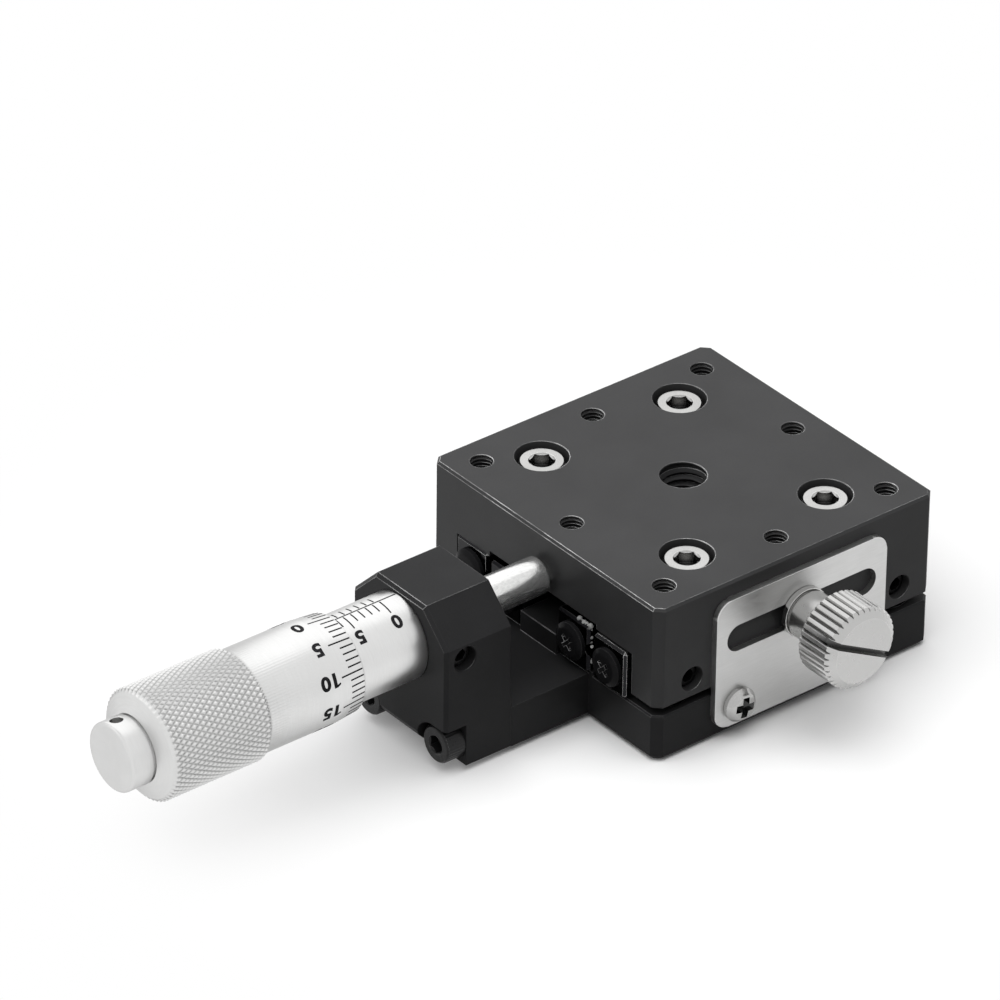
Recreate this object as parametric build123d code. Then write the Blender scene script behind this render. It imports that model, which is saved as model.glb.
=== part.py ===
from build123d import *
import os
from math import cos, pi, sin, sqrt

# Crossed roller linear stage, 40 mm square, driven by a micrometer head.
# Millimetres. X is the travel, with the micrometer head on the -X side.
# The clamp is on the -Y side and +Z is up. The origin is the centre of the
# base plate's underside, and the table stands at the middle of its travel.

# Stage
SIDE = 40.0
CORNER_CHAMFER = 1.0
EDGE_BREAK = 0.3
TRAVEL = 6.5  # each way from the middle
PAST = 1.0  # how far a cutter runs past the face that it opens

# Base plate
BASE_THICKNESS = 6.0
FOOT_CHAMFER = 0.7
BASE_EDGE_BREAK = 0.2  # round the plate's top
PAD_HEIGHT = 0.4  # raised seats under the inner rails
PAD_MARGIN = 0.2
RIB_HALF_WIDTH = 3.2  # centre rib that locates the inner rails
RIB_HEIGHT = 2.6
RIB_OVERHANG = 0.55
TONGUE_LENGTH = 11.0
TONGUE_HALF_WIDTH = 8.3
TONGUE_UNDERCUT = 0.8

# Table
TABLE_GAP = 0.9
TABLE_THICKNESS = 13.1
CEILING_RELIEF = 0.6
RELIEF_MARGIN = 0.3
PRELOAD_GAP = 0.4
CENTRE_HOLE_R = 3.0  # M6
GRID = 32.0  # M3 holes in the table, and fixing holes in the base
M3_R = 1.5
M3_DEPTH = 5.0
COUNTERSINK = 0.25

# Rails, rollers and cages
RAIL_LENGTH = 41.0
RAIL_WIDTH = 5.5
RAIL_HEIGHT = 6.0
RAIL_GAP = 1.0
RAIL_CHAMFER = 0.3
OUTER_RAIL_SHIFT = {"front": -0.15, "rear": 0.4}
GROOVE_SLOT_HALF = 0.2
GROOVE_SLOT_DEPTH = 0.15
ROLLER_CHANNEL = 2.0  # between the facing flanks of a pair of grooves
ROLLER_CLEARANCE = 0.02
ROLLER_LENGTH = 1.8
ROLLER_CHAMFER = 0.12
ROLLER_COUNT = 7
ROLLER_PITCH = 4.0
ROLLER_TILT = 45  # degrees, each roller square to the next
CAGE_THICKNESS = 0.6
CAGE_HEIGHT = 3.6
CAGE_END = 3.5  # from the last roller's centre to the end of the cage
WINDOW_CLEARANCE = 0.05

# Rail fasteners
RAIL_SCREW_PITCH = 20.0
RAIL_SCREW_FROM_BACK = 2.5
SCREW_CLEARANCE = 0.05  # a screw in its tapped hole, radially
M3_PASS_R = 1.7
M3_HEAD_R = 2.75
M3_HEAD_HEIGHT = 3.0
M3_HEX = 2.5  # across flats
M3_COUNTERBORE_R = 3.2
BASE_COUNTERBORE_R = 3.0
HEAD_SINK = 0.5  # screw heads below the table's face
BASE_HEAD_SINK = 0.4
TABLE_SCREW_TURN = 22  # degrees, how the sockets happen to stand
TABLE_SCREW_LENGTH = 8.0
BASE_SCREW_LENGTH = 6.0
FIXING_FLOOR = 2.7  # metal left under the base's fixing screws
RAIL_COUNTERBORE_R = 2.2
RAIL_COUNTERBORE_DEPTH = 2.0
END_SCREW_HEAD_R = 2.3
END_SCREW_HEAD = 0.9
END_SCREW_R = 1.0
END_SCREW_LENGTH = 4.0
END_HOLE_ROOM = 1.0  # past the screw's end
PRELOAD_PITCH = 15.0
PRELOAD_LENGTH = 4.0
PRELOAD_HEX = 1.5
SOCKET_DEPTH = 1.5

# Screw forms, as shares of the screw's own sizes
HEAD_BEVEL = 0.08  # of the head's radius
SHANK_BEVEL = 0.25  # of the shank's radius
HEAD_SOCKET = 0.5  # of the head's height
PAN_ROUNDING = 0.6  # of the head's height
RECESS_ARM = 0.24  # of the recess's width
RECESS_DEPTH = 0.5  # of the head's height
SET_SCREW_BEVEL = 0.2  # of the screw's radius

# Micrometer bracket
BRACKET_DEPTH = 9.2  # along X, at the seat
BRACKET_BOTTOM = 0.9
BRACKET_TOP = 20.8
BRACKET_RELIEF = 0.2
RELIEF_START = 7.2
RELIEF_END = 7.9
SHOULDER_CHAMFER = 4.0
TOE_CHAMFER = 2.7
BRACKET_BREAK = 0.4
BRACKET_SCREW_Y = 6.0
BRACKET_SCREW_Z = 3.45
POCKET_R = 2.8
POCKET_DEPTH = 2.9
M25_R = 1.25
M25_PASS_R = 1.35
M25_HEAD_R = 2.25
M25_HEAD_HEIGHT = 2.5
M25_HEX = 2.0
BRACKET_SCREW_LENGTH = 10.0
TONGUE_TAP_DEPTH = 5.5

# Micrometer head
MIC_HEIGHT = 15.0
STEM_R = 4.2
STEM_FIT = 0.02
SLEEVE_R = 5.2
SLEEVE_BREAK = 0.3
SPINDLE_R = 2.25
SPINDLE_BREAK = 0.2
SPINDLE_FIT = 0.05
THREAD_R = 3.0
THREAD_FIT = 0.05
THREAD_RELIEF = 0.15
THREAD_BREAK = 0.3
SHOULDER_ROOM = 0.5  # thread to bore shoulder, at the table's far +X limit
NUT_R = 4.0
NUT_LENGTH = 5.0
ZERO_OFFSET = 2.6  # zero line from the bracket's face
THIMBLE_R = 6.1
THIMBLE_EDGE_R = 5.8
THIMBLE_FIT = 0.1
THIMBLE_BEVEL = 3.3
KNURL_R = 6.6
KNURL_START = 13.4
KNURL_STEP = 0.4
KNURL_END = 25.8
THIMBLE_LENGTH = 27.0
THIMBLE_DEPTH = 20.2
END_FACE_R = 6.05
END_FACE_INNER_R = 4.1
REAR_ROOM = 2.0  # thimble wall to sleeve end, at the table's far +X limit
THREAD_START = 0.7  # behind the thimble's edge
TAPER_LENGTH = 5.45
TAPER_END_R = 2.4
TAPER_FIT = 0.02
CAP_R = 4.05
CAP_LENGTH = 3.0
CAP_BREAK = 0.35
CAP_STUD_R = 1.2
CAP_STUD_LENGTH = 5.2
CAP_STUD_BREAK = 0.2
CAP_STUD_ROOM = 0.3  # in the thimble's wall
CAP_HOLE_ROOM = 0.5  # past the stud's end
CAP_GROOVE = 0.25
SPANNER_R = 0.75
SPANNER_DEPTH = 1.5
SPANNER_ANGLE = 12.0
ANVIL_R = 1.49
ANVIL_FIT = 0.01
ANVIL_DEPTH = 2.0
ANVIL_OUT = 0.7
TIP_GAP = 0.03
SLEEVE_SCREW_X = 6.5  # set screw axis in front of the bracket's seat
SLEEVE_SCREW_SINK = 1.1

# Clamp
CLAMP_Z = 12.85
PLATE_WIDTH = 24.5
PLATE_HEIGHT = 16.6
PLATE_BOTTOM = 1.55
PLATE_THICKNESS = 0.8
PLATE_CORNER = 2.0
SLOT_LENGTH = 21.5
SLOT_WIDTH = 3.4
PLATE_SCREW_X = 9.0
PLATE_SCREW_Z = 4.2
PLATE_SCREW_HEAD_R = 2.2
PLATE_SCREW_HEAD = 1.4
PLATE_SCREW_LENGTH = 5.5
PLATE_TAP_DEPTH = 5.0
WASHER_R = 3.0
WASHER_THICKNESS = 0.75
WASHER_GAP = 0.03
STUD_HOLE_DEPTH = 4.0
STUD_END_ROOM = 0.2
NECK_R = 2.9
NECK_LENGTH = 4.3
NECK_GROOVE = 0.3
KNOB_R = 5.0
KNOB_LENGTH = 5.35
KNOB_FACE_R = 3.95
KNOB_FACE_CHAMFER = 0.85
KNOB_BREAK = 0.2
CLAMP_STUD_BREAK = 0.25
FLUTE_COUNT = 36
FLUTE_DEPTH = 0.5
FLUTE_CREST = 0.3  # share of each pitch left as a crest
FLUTE_ROOM = 0.01  # from the crests to the turned form that trims them
KNOB_SLOT_WIDTH = 0.8
KNOB_SLOT_DEPTH = 1.0
KNOB_SLOT_ANGLE = 28.4

# Return spring
SPRING_Z = 10.9
SPRING_R = 1.45  # to the middle of the wire
WIRE_R = 0.25
SPRING_PITCH = 2.0
SPRING_COILS = 11
WIRE_BLEND = 0.005
POST_R = 0.8
POST_FIT = 0.01
POST_PRESS = 2.5
POST_COLLAR_R = 1.1
POST_COLLAR = 0.5
POST_BEYOND = 0.6  # from the wire loop to the collar
BASE_POST_X = -16.0
TABLE_POST_X = 12.0
LOOP_R = 1.15

# Worked out from the sizes above
HALF = SIDE / 2
TABLE_BOTTOM = BASE_THICKNESS + TABLE_GAP
TABLE_TOP = TABLE_BOTTOM + TABLE_THICKNESS
RAIL_BOTTOM = BASE_THICKNESS + PAD_HEIGHT
RAIL_TOP = RAIL_BOTTOM + RAIL_HEIGHT
GUIDE_Z = RAIL_BOTTOM + RAIL_HEIGHT / 2
GUIDE_Y = RIB_HALF_WIDTH + RAIL_WIDTH + RAIL_GAP / 2
INNER_FACE = GUIDE_Y - RAIL_GAP / 2
OUTER_FACE = GUIDE_Y + RAIL_GAP / 2
OUTER_BACK = OUTER_FACE + RAIL_WIDTH
RIB_TOP = BASE_THICKNESS + RIB_HEIGHT
CEILING = RAIL_TOP + CEILING_RELIEF
RAIL_SCREW_X = RAIL_SCREW_PITCH / 2
OUTER_SCREW_Y = OUTER_BACK - RAIL_SCREW_FROM_BACK
INNER_SCREW_Y = RIB_HALF_WIDTH + RAIL_SCREW_FROM_BACK
SCREW_FLOOR = TABLE_TOP - HEAD_SINK - M3_HEAD_HEIGHT
BASE_SCREW_FLOOR = M3_HEAD_HEIGHT + BASE_HEAD_SINK
M3_SCREW_R = M3_R - SCREW_CLEARANCE
M25_SCREW_R = M25_R - SCREW_CLEARANCE
GROOVE_DEPTH = ROLLER_CHANNEL / sqrt(2) - RAIL_GAP / 2
ROLLER_R = ROLLER_CHANNEL / 2 - ROLLER_CLEARANCE
TONGUE_END = -HALF - TONGUE_LENGTH
BRACKET_FACE = TONGUE_END - BRACKET_DEPTH
BRACKET_BACK = TONGUE_END - BRACKET_RELIEF
ZERO_X = BRACKET_FACE - ZERO_OFFSET
THIMBLE_EDGE = ZERO_X - TRAVEL
THIMBLE_END = THIMBLE_EDGE - THIMBLE_LENGTH
THIMBLE_WALL = THIMBLE_EDGE - THIMBLE_DEPTH
SLEEVE_END = ZERO_X - THIMBLE_DEPTH + REAR_ROOM
THREAD_FRONT = THIMBLE_EDGE - THREAD_START
BORE_SHOULDER = THREAD_FRONT + TRAVEL + SHOULDER_ROOM
SLEEVE_BORE_R = SPINDLE_R + SPINDLE_FIT
TAPER_END = THIMBLE_WALL - TAPER_LENGTH
ANVIL_FACE = -HALF - ANVIL_OUT
TIP = ANVIL_FACE - TIP_GAP
PLATE_FACE = -HALF - PLATE_THICKNESS
WASHER_FACE = PLATE_FACE - WASHER_GAP - WASHER_THICKNESS
NECK_START = WASHER_FACE - WASHER_GAP
HEAD_START = NECK_START - NECK_LENGTH
KNOB_FACE = HEAD_START - KNOB_LENGTH
SIDES = {"front": -1, "rear": 1}


def block(x0, x1, y0, y1, z0, z1):
    """A box between two corners."""
    return Pos((x0 + x1) / 2, (y0 + y1) / 2, (z0 + z1) / 2) * Box(x1 - x0, y1 - y0, z1 - z0)


def upright(x, y, z0, z1, radius):
    """A cylinder along Z."""
    return Pos(x, y, (z0 + z1) / 2) * Cylinder(radius, z1 - z0)


def along_x(x0, x1, y, z, radius):
    """A cylinder along X."""
    return Pos((x0 + x1) / 2, y, z) * Rot(0, 90, 0) * Cylinder(radius, x1 - x0)


def along_y(x, y0, y1, z, radius):
    """A cylinder along Y."""
    return Pos(x, (y0 + y1) / 2, z) * Rot(90, 0, 0) * Cylinder(radius, y1 - y0)


def drilled_down(x, y, top, depth, radius):
    """The space of a tapped hole from a top face, with its countersink."""
    mouth = Pos(x, y, top - COUNTERSINK / 2) * Cone(radius, radius + COUNTERSINK, COUNTERSINK)
    return upright(x, y, top - depth, top, radius) + mouth


def corners(half_x, half_y):
    """The four corners of a rectangle about the origin."""
    return [(sx * half_x, sy * half_y) for sx in (-1, 1) for sy in (-1, 1)]


def turned(outline):
    """A body turned about the micrometer's axis, from points (x, radius)."""
    points = [(x, 0, MIC_HEIGHT + radius) for x, radius in outline]
    face = make_face(Polyline(*points, close=True))
    return revolve(face, Axis((0, 0, MIC_HEIGHT), (1, 0, 0)))


def turned_y(outline):
    """A body turned about the clamp knob's axis, from points (y, radius)."""
    points = [(0, y, CLAMP_Z + radius) for y, radius in outline]
    face = make_face(Polyline(*points, close=True))
    return revolve(face, Axis((0, 0, CLAMP_Z), (0, 1, 0)))


def hex_bar(across, depth):
    """A hexagonal prism from z 0 down, for a socket."""
    return extrude(RegularPolygon(across / sqrt(3), 6), -depth)


def cross_recess(width, thickness, depth):
    """Two crossing slots from z 0 down, for a cross recess."""
    arm = Pos(0, 0, -depth / 2) * Box(width, thickness, depth)
    return arm + Rot(0, 0, 90) * arm


def cap_screw(head_r, head_height, across, shank_r, length):
    """A socket head cap screw pointing down, with its head's seat at z 0."""
    head = Pos(0, 0, head_height / 2) * Cylinder(head_r, head_height)
    head = chamfer(head.edges().group_by(Axis.Z)[-1], head_r * HEAD_BEVEL)
    shank = Pos(0, 0, -length / 2) * Cylinder(shank_r, length)
    shank = chamfer(shank.edges().group_by(Axis.Z)[0], shank_r * SHANK_BEVEL)
    socket = Pos(0, 0, head_height) * hex_bar(across, head_height * HEAD_SOCKET)
    return head + shank - socket


def pan_screw(head_r, head_height, recess, shank_r, length):
    """A cross recessed screw pointing down, with its head's seat at z 0."""
    head = Pos(0, 0, head_height / 2) * Cylinder(head_r, head_height)
    head = fillet(head.edges().group_by(Axis.Z)[-1], head_height * PAN_ROUNDING)
    shank = Pos(0, 0, -length / 2) * Cylinder(shank_r, length)
    slots = cross_recess(recess, recess * RECESS_ARM, head_height * RECESS_DEPTH)
    return head + shank - Pos(0, 0, head_height) * slots


def set_screw(radius, length, across):
    """A socket set screw along Z from 0 down to minus its length."""
    body = Pos(0, 0, -length / 2) * Cylinder(radius, length)
    body = chamfer(body.edges(), radius * SET_SCREW_BEVEL)
    return body - hex_bar(across, min(SOCKET_DEPTH, length / 2))


def base_plate():
    """Bottom plate with its rail seats, centre rib and the tongue that carries the bracket."""
    plate = block(-HALF, HALF, -HALF, HALF, 0, BASE_THICKNESS)
    plate = chamfer(plate.edges().filter_by(Axis.Z), CORNER_CHAMFER)
    plate = chamfer(plate.edges().group_by(Axis.Z)[0], FOOT_CHAMFER)
    plate = chamfer(plate.edges().group_by(Axis.Z)[-1], BASE_EDGE_BREAK)
    pad_edge = INNER_FACE + PAD_MARGIN
    plate += block(-HALF, HALF, -pad_edge, pad_edge, BASE_THICKNESS / 2, RAIL_BOTTOM)
    rib_start = -HALF - RIB_OVERHANG
    plate += block(rib_start, HALF, -RIB_HALF_WIDTH, RIB_HALF_WIDTH, BASE_THICKNESS / 2, RIB_TOP)
    plate += block(
        TONGUE_END, 0, -TONGUE_HALF_WIDTH, TONGUE_HALF_WIDTH, TONGUE_UNDERCUT, BASE_THICKNESS
    )
    for x, y in corners(GRID / 2, GRID / 2):
        plate -= upright(x, y, -PAST, BASE_THICKNESS + PAST, M3_PASS_R)
        plate -= upright(x, y, FIXING_FLOOR, BASE_THICKNESS + PAST, BASE_COUNTERBORE_R)
    for x, y in corners(RAIL_SCREW_X, INNER_SCREW_Y):
        plate -= upright(x, y, -PAST, RAIL_BOTTOM + PAST, M3_PASS_R)
        plate -= upright(x, y, -PAST, BASE_SCREW_FLOOR, BASE_COUNTERBORE_R)
    for sign in (-1, 1):
        plate -= along_y(
            sign * PLATE_SCREW_X, -HALF - PAST, -HALF + PLATE_TAP_DEPTH, PLATE_SCREW_Z, M25_R
        )
        plate -= along_x(
            TONGUE_END - PAST, TONGUE_END + TONGUE_TAP_DEPTH,
            sign * BRACKET_SCREW_Y, BRACKET_SCREW_Z, M25_R,
        )
    plate -= upright(BASE_POST_X, 0, RIB_TOP - POST_PRESS, RIB_TOP + PAST, POST_R)
    return plate


def table():
    """Top block: the channel for the rails below, and the grid of tapped holes above."""
    top = block(-HALF, HALF, -HALF, HALF, TABLE_BOTTOM, TABLE_TOP)
    top = chamfer(top.edges().filter_by(Axis.Z), CORNER_CHAMFER)
    top = chamfer(top.edges().group_by(Axis.Z)[-1], EDGE_BREAK)
    top = chamfer(top.edges().group_by(Axis.Z)[0], EDGE_BREAK)
    top -= block(
        -HALF - PAST, HALF + PAST, -OUTER_BACK - PRELOAD_GAP, OUTER_BACK,
        TABLE_BOTTOM - PAST, RAIL_TOP,
    )
    relief = OUTER_FACE - RELIEF_MARGIN
    top -= block(-HALF - PAST, HALF + PAST, -relief, relief, RAIL_TOP - PAST, CEILING)
    half_grid = GRID / 2
    line_holes = [(half_grid, 0), (-half_grid, 0), (0, half_grid), (0, -half_grid)]
    for x, y in corners(half_grid, half_grid) + line_holes:
        top -= drilled_down(x, y, TABLE_TOP, M3_DEPTH, M3_R)
    top -= drilled_down(0, 0, TABLE_TOP, TABLE_TOP - CEILING + PAST, CENTRE_HOLE_R)
    for x, y in corners(RAIL_SCREW_X, OUTER_SCREW_Y):
        top -= upright(x, y, RAIL_TOP - PAST, TABLE_TOP + PAST, M3_PASS_R)
        top -= upright(x, y, SCREW_FLOOR, TABLE_TOP + PAST, M3_COUNTERBORE_R)
    for x in (-PRELOAD_PITCH, 0, PRELOAD_PITCH):
        top -= along_y(x, -HALF - PAST, -OUTER_BACK, GUIDE_Z, M3_R)
    top -= along_y(0, -HALF - PAST, -HALF + STUD_HOLE_DEPTH, CLAMP_Z, M3_R)
    top -= along_x(-HALF - PAST, -HALF + ANVIL_DEPTH, 0, MIC_HEIGHT, ANVIL_R + ANVIL_FIT)
    top -= upright(TABLE_POST_X, 0, CEILING - PAST, CEILING + POST_PRESS, POST_R)
    return top


def rail_profile():
    """Rail section in Y and Z, face at y 0 and back at y RAIL_WIDTH, with its V groove."""
    half = RAIL_HEIGHT / 2
    slot = GROOVE_SLOT_HALF
    bottom = GROOVE_DEPTH + GROOVE_SLOT_DEPTH
    points = [
        (0, 0, -half), (0, RAIL_WIDTH, -half), (0, RAIL_WIDTH, half), (0, 0, half),
        (0, 0, GROOVE_DEPTH), (0, GROOVE_DEPTH - slot, slot), (0, bottom, slot),
        (0, bottom, -slot), (0, GROOVE_DEPTH - slot, -slot), (0, 0, -GROOVE_DEPTH),
    ]
    return make_face(Polyline(*points, close=True))


def rail(counterbore_up, shift=0.0):
    """One rail along X, its ends shifted from the middle of its two tapped holes."""
    half = RAIL_HEIGHT / 2
    start = shift - RAIL_LENGTH / 2
    end = shift + RAIL_LENGTH / 2
    bar = Pos(start, 0, 0) * extrude(rail_profile(), RAIL_LENGTH, dir=(1, 0, 0))
    envelope = block(start, end, 0, RAIL_WIDTH, -half, half)
    bar &= chamfer(envelope.edges(), RAIL_CHAMFER)
    hole_y = RAIL_WIDTH - RAIL_SCREW_FROM_BACK
    mouth = half if counterbore_up else -half
    floor = mouth - RAIL_COUNTERBORE_DEPTH if counterbore_up else mouth + RAIL_COUNTERBORE_DEPTH
    for x in (-RAIL_SCREW_X, RAIL_SCREW_X):
        bar -= upright(x, hole_y, -half - PAST, half + PAST, M3_R)
        bar -= upright(x, hole_y, min(mouth, floor), max(mouth, floor), RAIL_COUNTERBORE_R)
    depth = END_SCREW_LENGTH + END_HOLE_ROOM
    for x0, x1 in ((start, start + depth), (end - depth, end)):
        bar -= along_x(x0, x1, RAIL_WIDTH / 2, 0, END_SCREW_R + SCREW_CLEARANCE)
    return bar


def outer_rail(side):
    """A rail of the table: its groove looks to the middle."""
    shift = OUTER_RAIL_SHIFT[side]
    bar = rail(False, shift)
    if SIDES[side] < 0:
        bar = Rot(180, 0, 0) * rail(True, shift)
    return Pos(0, SIDES[side] * OUTER_FACE, GUIDE_Z) * bar


def inner_rail(side):
    """A rail of the base: its groove looks away from the middle."""
    bar = rail(True)
    if SIDES[side] > 0:
        bar = Rot(180, 0, 0) * rail(False)
    return Pos(0, SIDES[side] * INNER_FACE, GUIDE_Z) * bar


def roller_x(index):
    """The place of a roller along its row."""
    return (index - (ROLLER_COUNT - 1) / 2) * ROLLER_PITCH


def roller(side, index):
    """One roller, square to its neighbours and lying on its own pair of flanks."""
    body = Cylinder(ROLLER_R, ROLLER_LENGTH)
    body = chamfer(body.edges(), ROLLER_CHAMFER)
    tilt = ROLLER_TILT if index % 2 == 0 else -ROLLER_TILT
    return Pos(roller_x(index), SIDES[side] * GUIDE_Y, GUIDE_Z) * Rot(tilt, 0, 0) * body


def roller_cage(side):
    """Thin strip between the rails, with one window for each roller."""
    half_length = (ROLLER_COUNT - 1) / 2 * ROLLER_PITCH + CAGE_END
    strip = block(
        -half_length, half_length, -CAGE_THICKNESS / 2, CAGE_THICKNESS / 2,
        -CAGE_HEIGHT / 2, CAGE_HEIGHT / 2,
    )
    strip = chamfer(strip.edges().filter_by(Axis.Y), CAGE_THICKNESS / 2)
    half_window = ROLLER_R + WINDOW_CLEARANCE
    half_window_z = ROLLER_LENGTH / sqrt(2) + WINDOW_CLEARANCE
    for index in range(ROLLER_COUNT):
        x = roller_x(index)
        strip -= block(
            x - half_window, x + half_window, -CAGE_THICKNESS, CAGE_THICKNESS,
            -half_window_z, half_window_z,
        )
    return Pos(0, SIDES[side] * GUIDE_Y, GUIDE_Z) * strip


def rail_end_screws(centre_y, shifts):
    """The screws in both ends of a pair of rails."""
    screws = []
    for side, sign in SIDES.items():
        for end in (-1, 1):
            x = end * RAIL_LENGTH / 2 + shifts[side]
            screw = pan_screw(
                END_SCREW_HEAD_R, END_SCREW_HEAD, END_SCREW_HEAD_R, END_SCREW_R, END_SCREW_LENGTH
            )
            screws.append(Pos(x, sign * centre_y, GUIDE_Z) * Rot(0, end * 90, 0) * screw)
    return screws


def table_rail_screws():
    """Cap screws sunk in the table's top that hold the outer rails."""
    screw = cap_screw(M3_HEAD_R, M3_HEAD_HEIGHT, M3_HEX, M3_SCREW_R, TABLE_SCREW_LENGTH)
    places = corners(RAIL_SCREW_X, OUTER_SCREW_Y)
    return [Pos(x, y, SCREW_FLOOR) * Rot(0, 0, TABLE_SCREW_TURN) * screw for x, y in places]


def base_rail_screws():
    """Cap screws sunk in the base's underside that hold the inner rails."""
    screw = cap_screw(M3_HEAD_R, M3_HEAD_HEIGHT, M3_HEX, M3_SCREW_R, BASE_SCREW_LENGTH)
    places = corners(RAIL_SCREW_X, INNER_SCREW_Y)
    return [Pos(x, y, BASE_SCREW_FLOOR) * Rot(180, 0, 0) * screw for x, y in places]


def preload_set_screws():
    """Set screws that press the front outer rail against the rollers."""
    screw = set_screw(M3_SCREW_R, PRELOAD_LENGTH, PRELOAD_HEX)
    mouth = -OUTER_BACK - PRELOAD_LENGTH
    return [
        Pos(x, mouth, GUIDE_Z) * Rot(90, 0, 0) * screw
        for x in (-PRELOAD_PITCH, 0, PRELOAD_PITCH)
    ]


def micrometer_bracket():
    """Upright block on the tongue's end, bored for the micrometer's stem."""
    side_points = [
        (TONGUE_END, 0, BRACKET_BOTTOM), (TONGUE_END, 0, RELIEF_START),
        (BRACKET_BACK, 0, RELIEF_END), (BRACKET_BACK, 0, BRACKET_TOP),
        (BRACKET_FACE, 0, BRACKET_TOP), (BRACKET_FACE, 0, BRACKET_BOTTOM + TOE_CHAMFER),
        (BRACKET_FACE + TOE_CHAMFER, 0, BRACKET_BOTTOM),
    ]
    width = TONGUE_HALF_WIDTH
    side_view = make_face(Polyline(*side_points, close=True))
    body = Pos(0, width, 0) * extrude(side_view, 2 * width, dir=(0, -1, 0))
    before = BRACKET_FACE - PAST
    end_points = [
        (before, -width, 0), (before, width, 0),
        (before, width, BRACKET_TOP - SHOULDER_CHAMFER),
        (before, width - SHOULDER_CHAMFER, BRACKET_TOP),
        (before, SHOULDER_CHAMFER - width, BRACKET_TOP),
        (before, -width, BRACKET_TOP - SHOULDER_CHAMFER),
    ]
    end_view = make_face(Polyline(*end_points, close=True))
    body &= extrude(end_view, BRACKET_DEPTH + 2 * PAST, dir=(1, 0, 0))
    front = body.faces().sort_by(Axis.X)[0]
    body = chamfer(front.edges(), BRACKET_BREAK)
    pocket_floor = BRACKET_FACE + POCKET_DEPTH
    for sign in (-1, 1):
        y = sign * BRACKET_SCREW_Y
        outside = sign * (width + PAST)
        body -= along_x(before, pocket_floor, y, BRACKET_SCREW_Z, POCKET_R)
        body -= block(
            before, pocket_floor, min(y, outside), max(y, outside),
            BRACKET_SCREW_Z - POCKET_R, BRACKET_SCREW_Z + POCKET_R,
        )
        body -= along_x(before, TONGUE_END + PAST, y, BRACKET_SCREW_Z, M25_PASS_R)
    body -= along_x(before, TONGUE_END + PAST, 0, MIC_HEIGHT, STEM_R + STEM_FIT)
    body -= along_y(TONGUE_END - SLEEVE_SCREW_X, -width - PAST, 0, MIC_HEIGHT, M3_R)
    return body


def bracket_screws():
    """Cap screws that hold the bracket to the tongue."""
    screw = cap_screw(M25_HEAD_R, M25_HEAD_HEIGHT, M25_HEX, M25_SCREW_R, BRACKET_SCREW_LENGTH)
    x = BRACKET_FACE + POCKET_DEPTH
    return [
        Pos(x, sign * BRACKET_SCREW_Y, BRACKET_SCREW_Z) * Rot(0, -90, 0) * screw
        for sign in (-1, 1)
    ]


def sleeve_set_screw():
    """Set screw in the bracket's side that holds the micrometer's stem."""
    mouth = -TONGUE_HALF_WIDTH + SLEEVE_SCREW_SINK
    length = -STEM_R - STEM_FIT - mouth
    screw = set_screw(M3_SCREW_R, length, PRELOAD_HEX)
    return Pos(TONGUE_END - SLEEVE_SCREW_X, mouth, MIC_HEIGHT) * Rot(90, 0, 0) * screw


def micrometer_sleeve():
    """Graduated sleeve with its stem, bored for the spindle and the nut."""
    nut_seat = SLEEVE_END + NUT_LENGTH
    relief_r = THREAD_R + THREAD_RELIEF
    nut_bore = NUT_R + THREAD_FIT
    return turned([
        (BRACKET_BACK, SLEEVE_BORE_R), (BRACKET_BACK, STEM_R - SLEEVE_BREAK),
        (BRACKET_BACK - SLEEVE_BREAK, STEM_R), (BRACKET_FACE, STEM_R), (BRACKET_FACE, SLEEVE_R),
        (SLEEVE_END + SLEEVE_BREAK, SLEEVE_R), (SLEEVE_END, SLEEVE_R - SLEEVE_BREAK),
        (SLEEVE_END, nut_bore),
        (nut_seat, nut_bore), (nut_seat, relief_r), (BORE_SHOULDER, relief_r),
        (BORE_SHOULDER, SLEEVE_BORE_R),
    ])


def spindle_nut():
    """Nut in the sleeve's rear end that the spindle's thread runs in."""
    nut_seat = SLEEVE_END + NUT_LENGTH
    bore = THREAD_R + THREAD_FIT
    return turned([(nut_seat, bore), (nut_seat, NUT_R), (SLEEVE_END, NUT_R), (SLEEVE_END, bore)])


def spindle():
    """Spindle with its plain front, threaded middle and the taper that carries the thimble."""
    hole_r = CAP_STUD_R + SCREW_CLEARANCE
    hole_end = THIMBLE_END + CAP_STUD_LENGTH + CAP_HOLE_ROOM
    return turned([
        (TIP, 0), (TIP, SPINDLE_R - SPINDLE_BREAK), (TIP - SPINDLE_BREAK, SPINDLE_R),
        (THREAD_FRONT, SPINDLE_R), (THREAD_FRONT, THREAD_R - THREAD_BREAK),
        (THREAD_FRONT - THREAD_BREAK, THREAD_R), (THIMBLE_WALL, THREAD_R),
        (TAPER_END, TAPER_END_R), (TAPER_END, hole_r), (hole_end, hole_r), (hole_end, 0),
    ])


def thimble():
    """Thimble: bevelled graduated edge, plain band, knurled grip and the wall behind."""
    edge = THIMBLE_EDGE
    bore = SLEEVE_R + THIMBLE_FIT
    stud_hole = CAP_STUD_R + CAP_STUD_ROOM
    return turned([
        (edge, bore), (edge, THIMBLE_EDGE_R), (edge - THIMBLE_BEVEL, THIMBLE_R),
        (edge - KNURL_START + KNURL_STEP, THIMBLE_R), (edge - KNURL_START, KNURL_R),
        (edge - KNURL_END, KNURL_R), (edge - KNURL_END - KNURL_STEP, END_FACE_R),
        (THIMBLE_END, END_FACE_INNER_R), (THIMBLE_END, stud_hole), (TAPER_END, stud_hole),
        (TAPER_END, TAPER_END_R + TAPER_FIT), (THIMBLE_WALL, THREAD_R + TAPER_FIT),
        (THIMBLE_WALL, bore),
    ])


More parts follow.
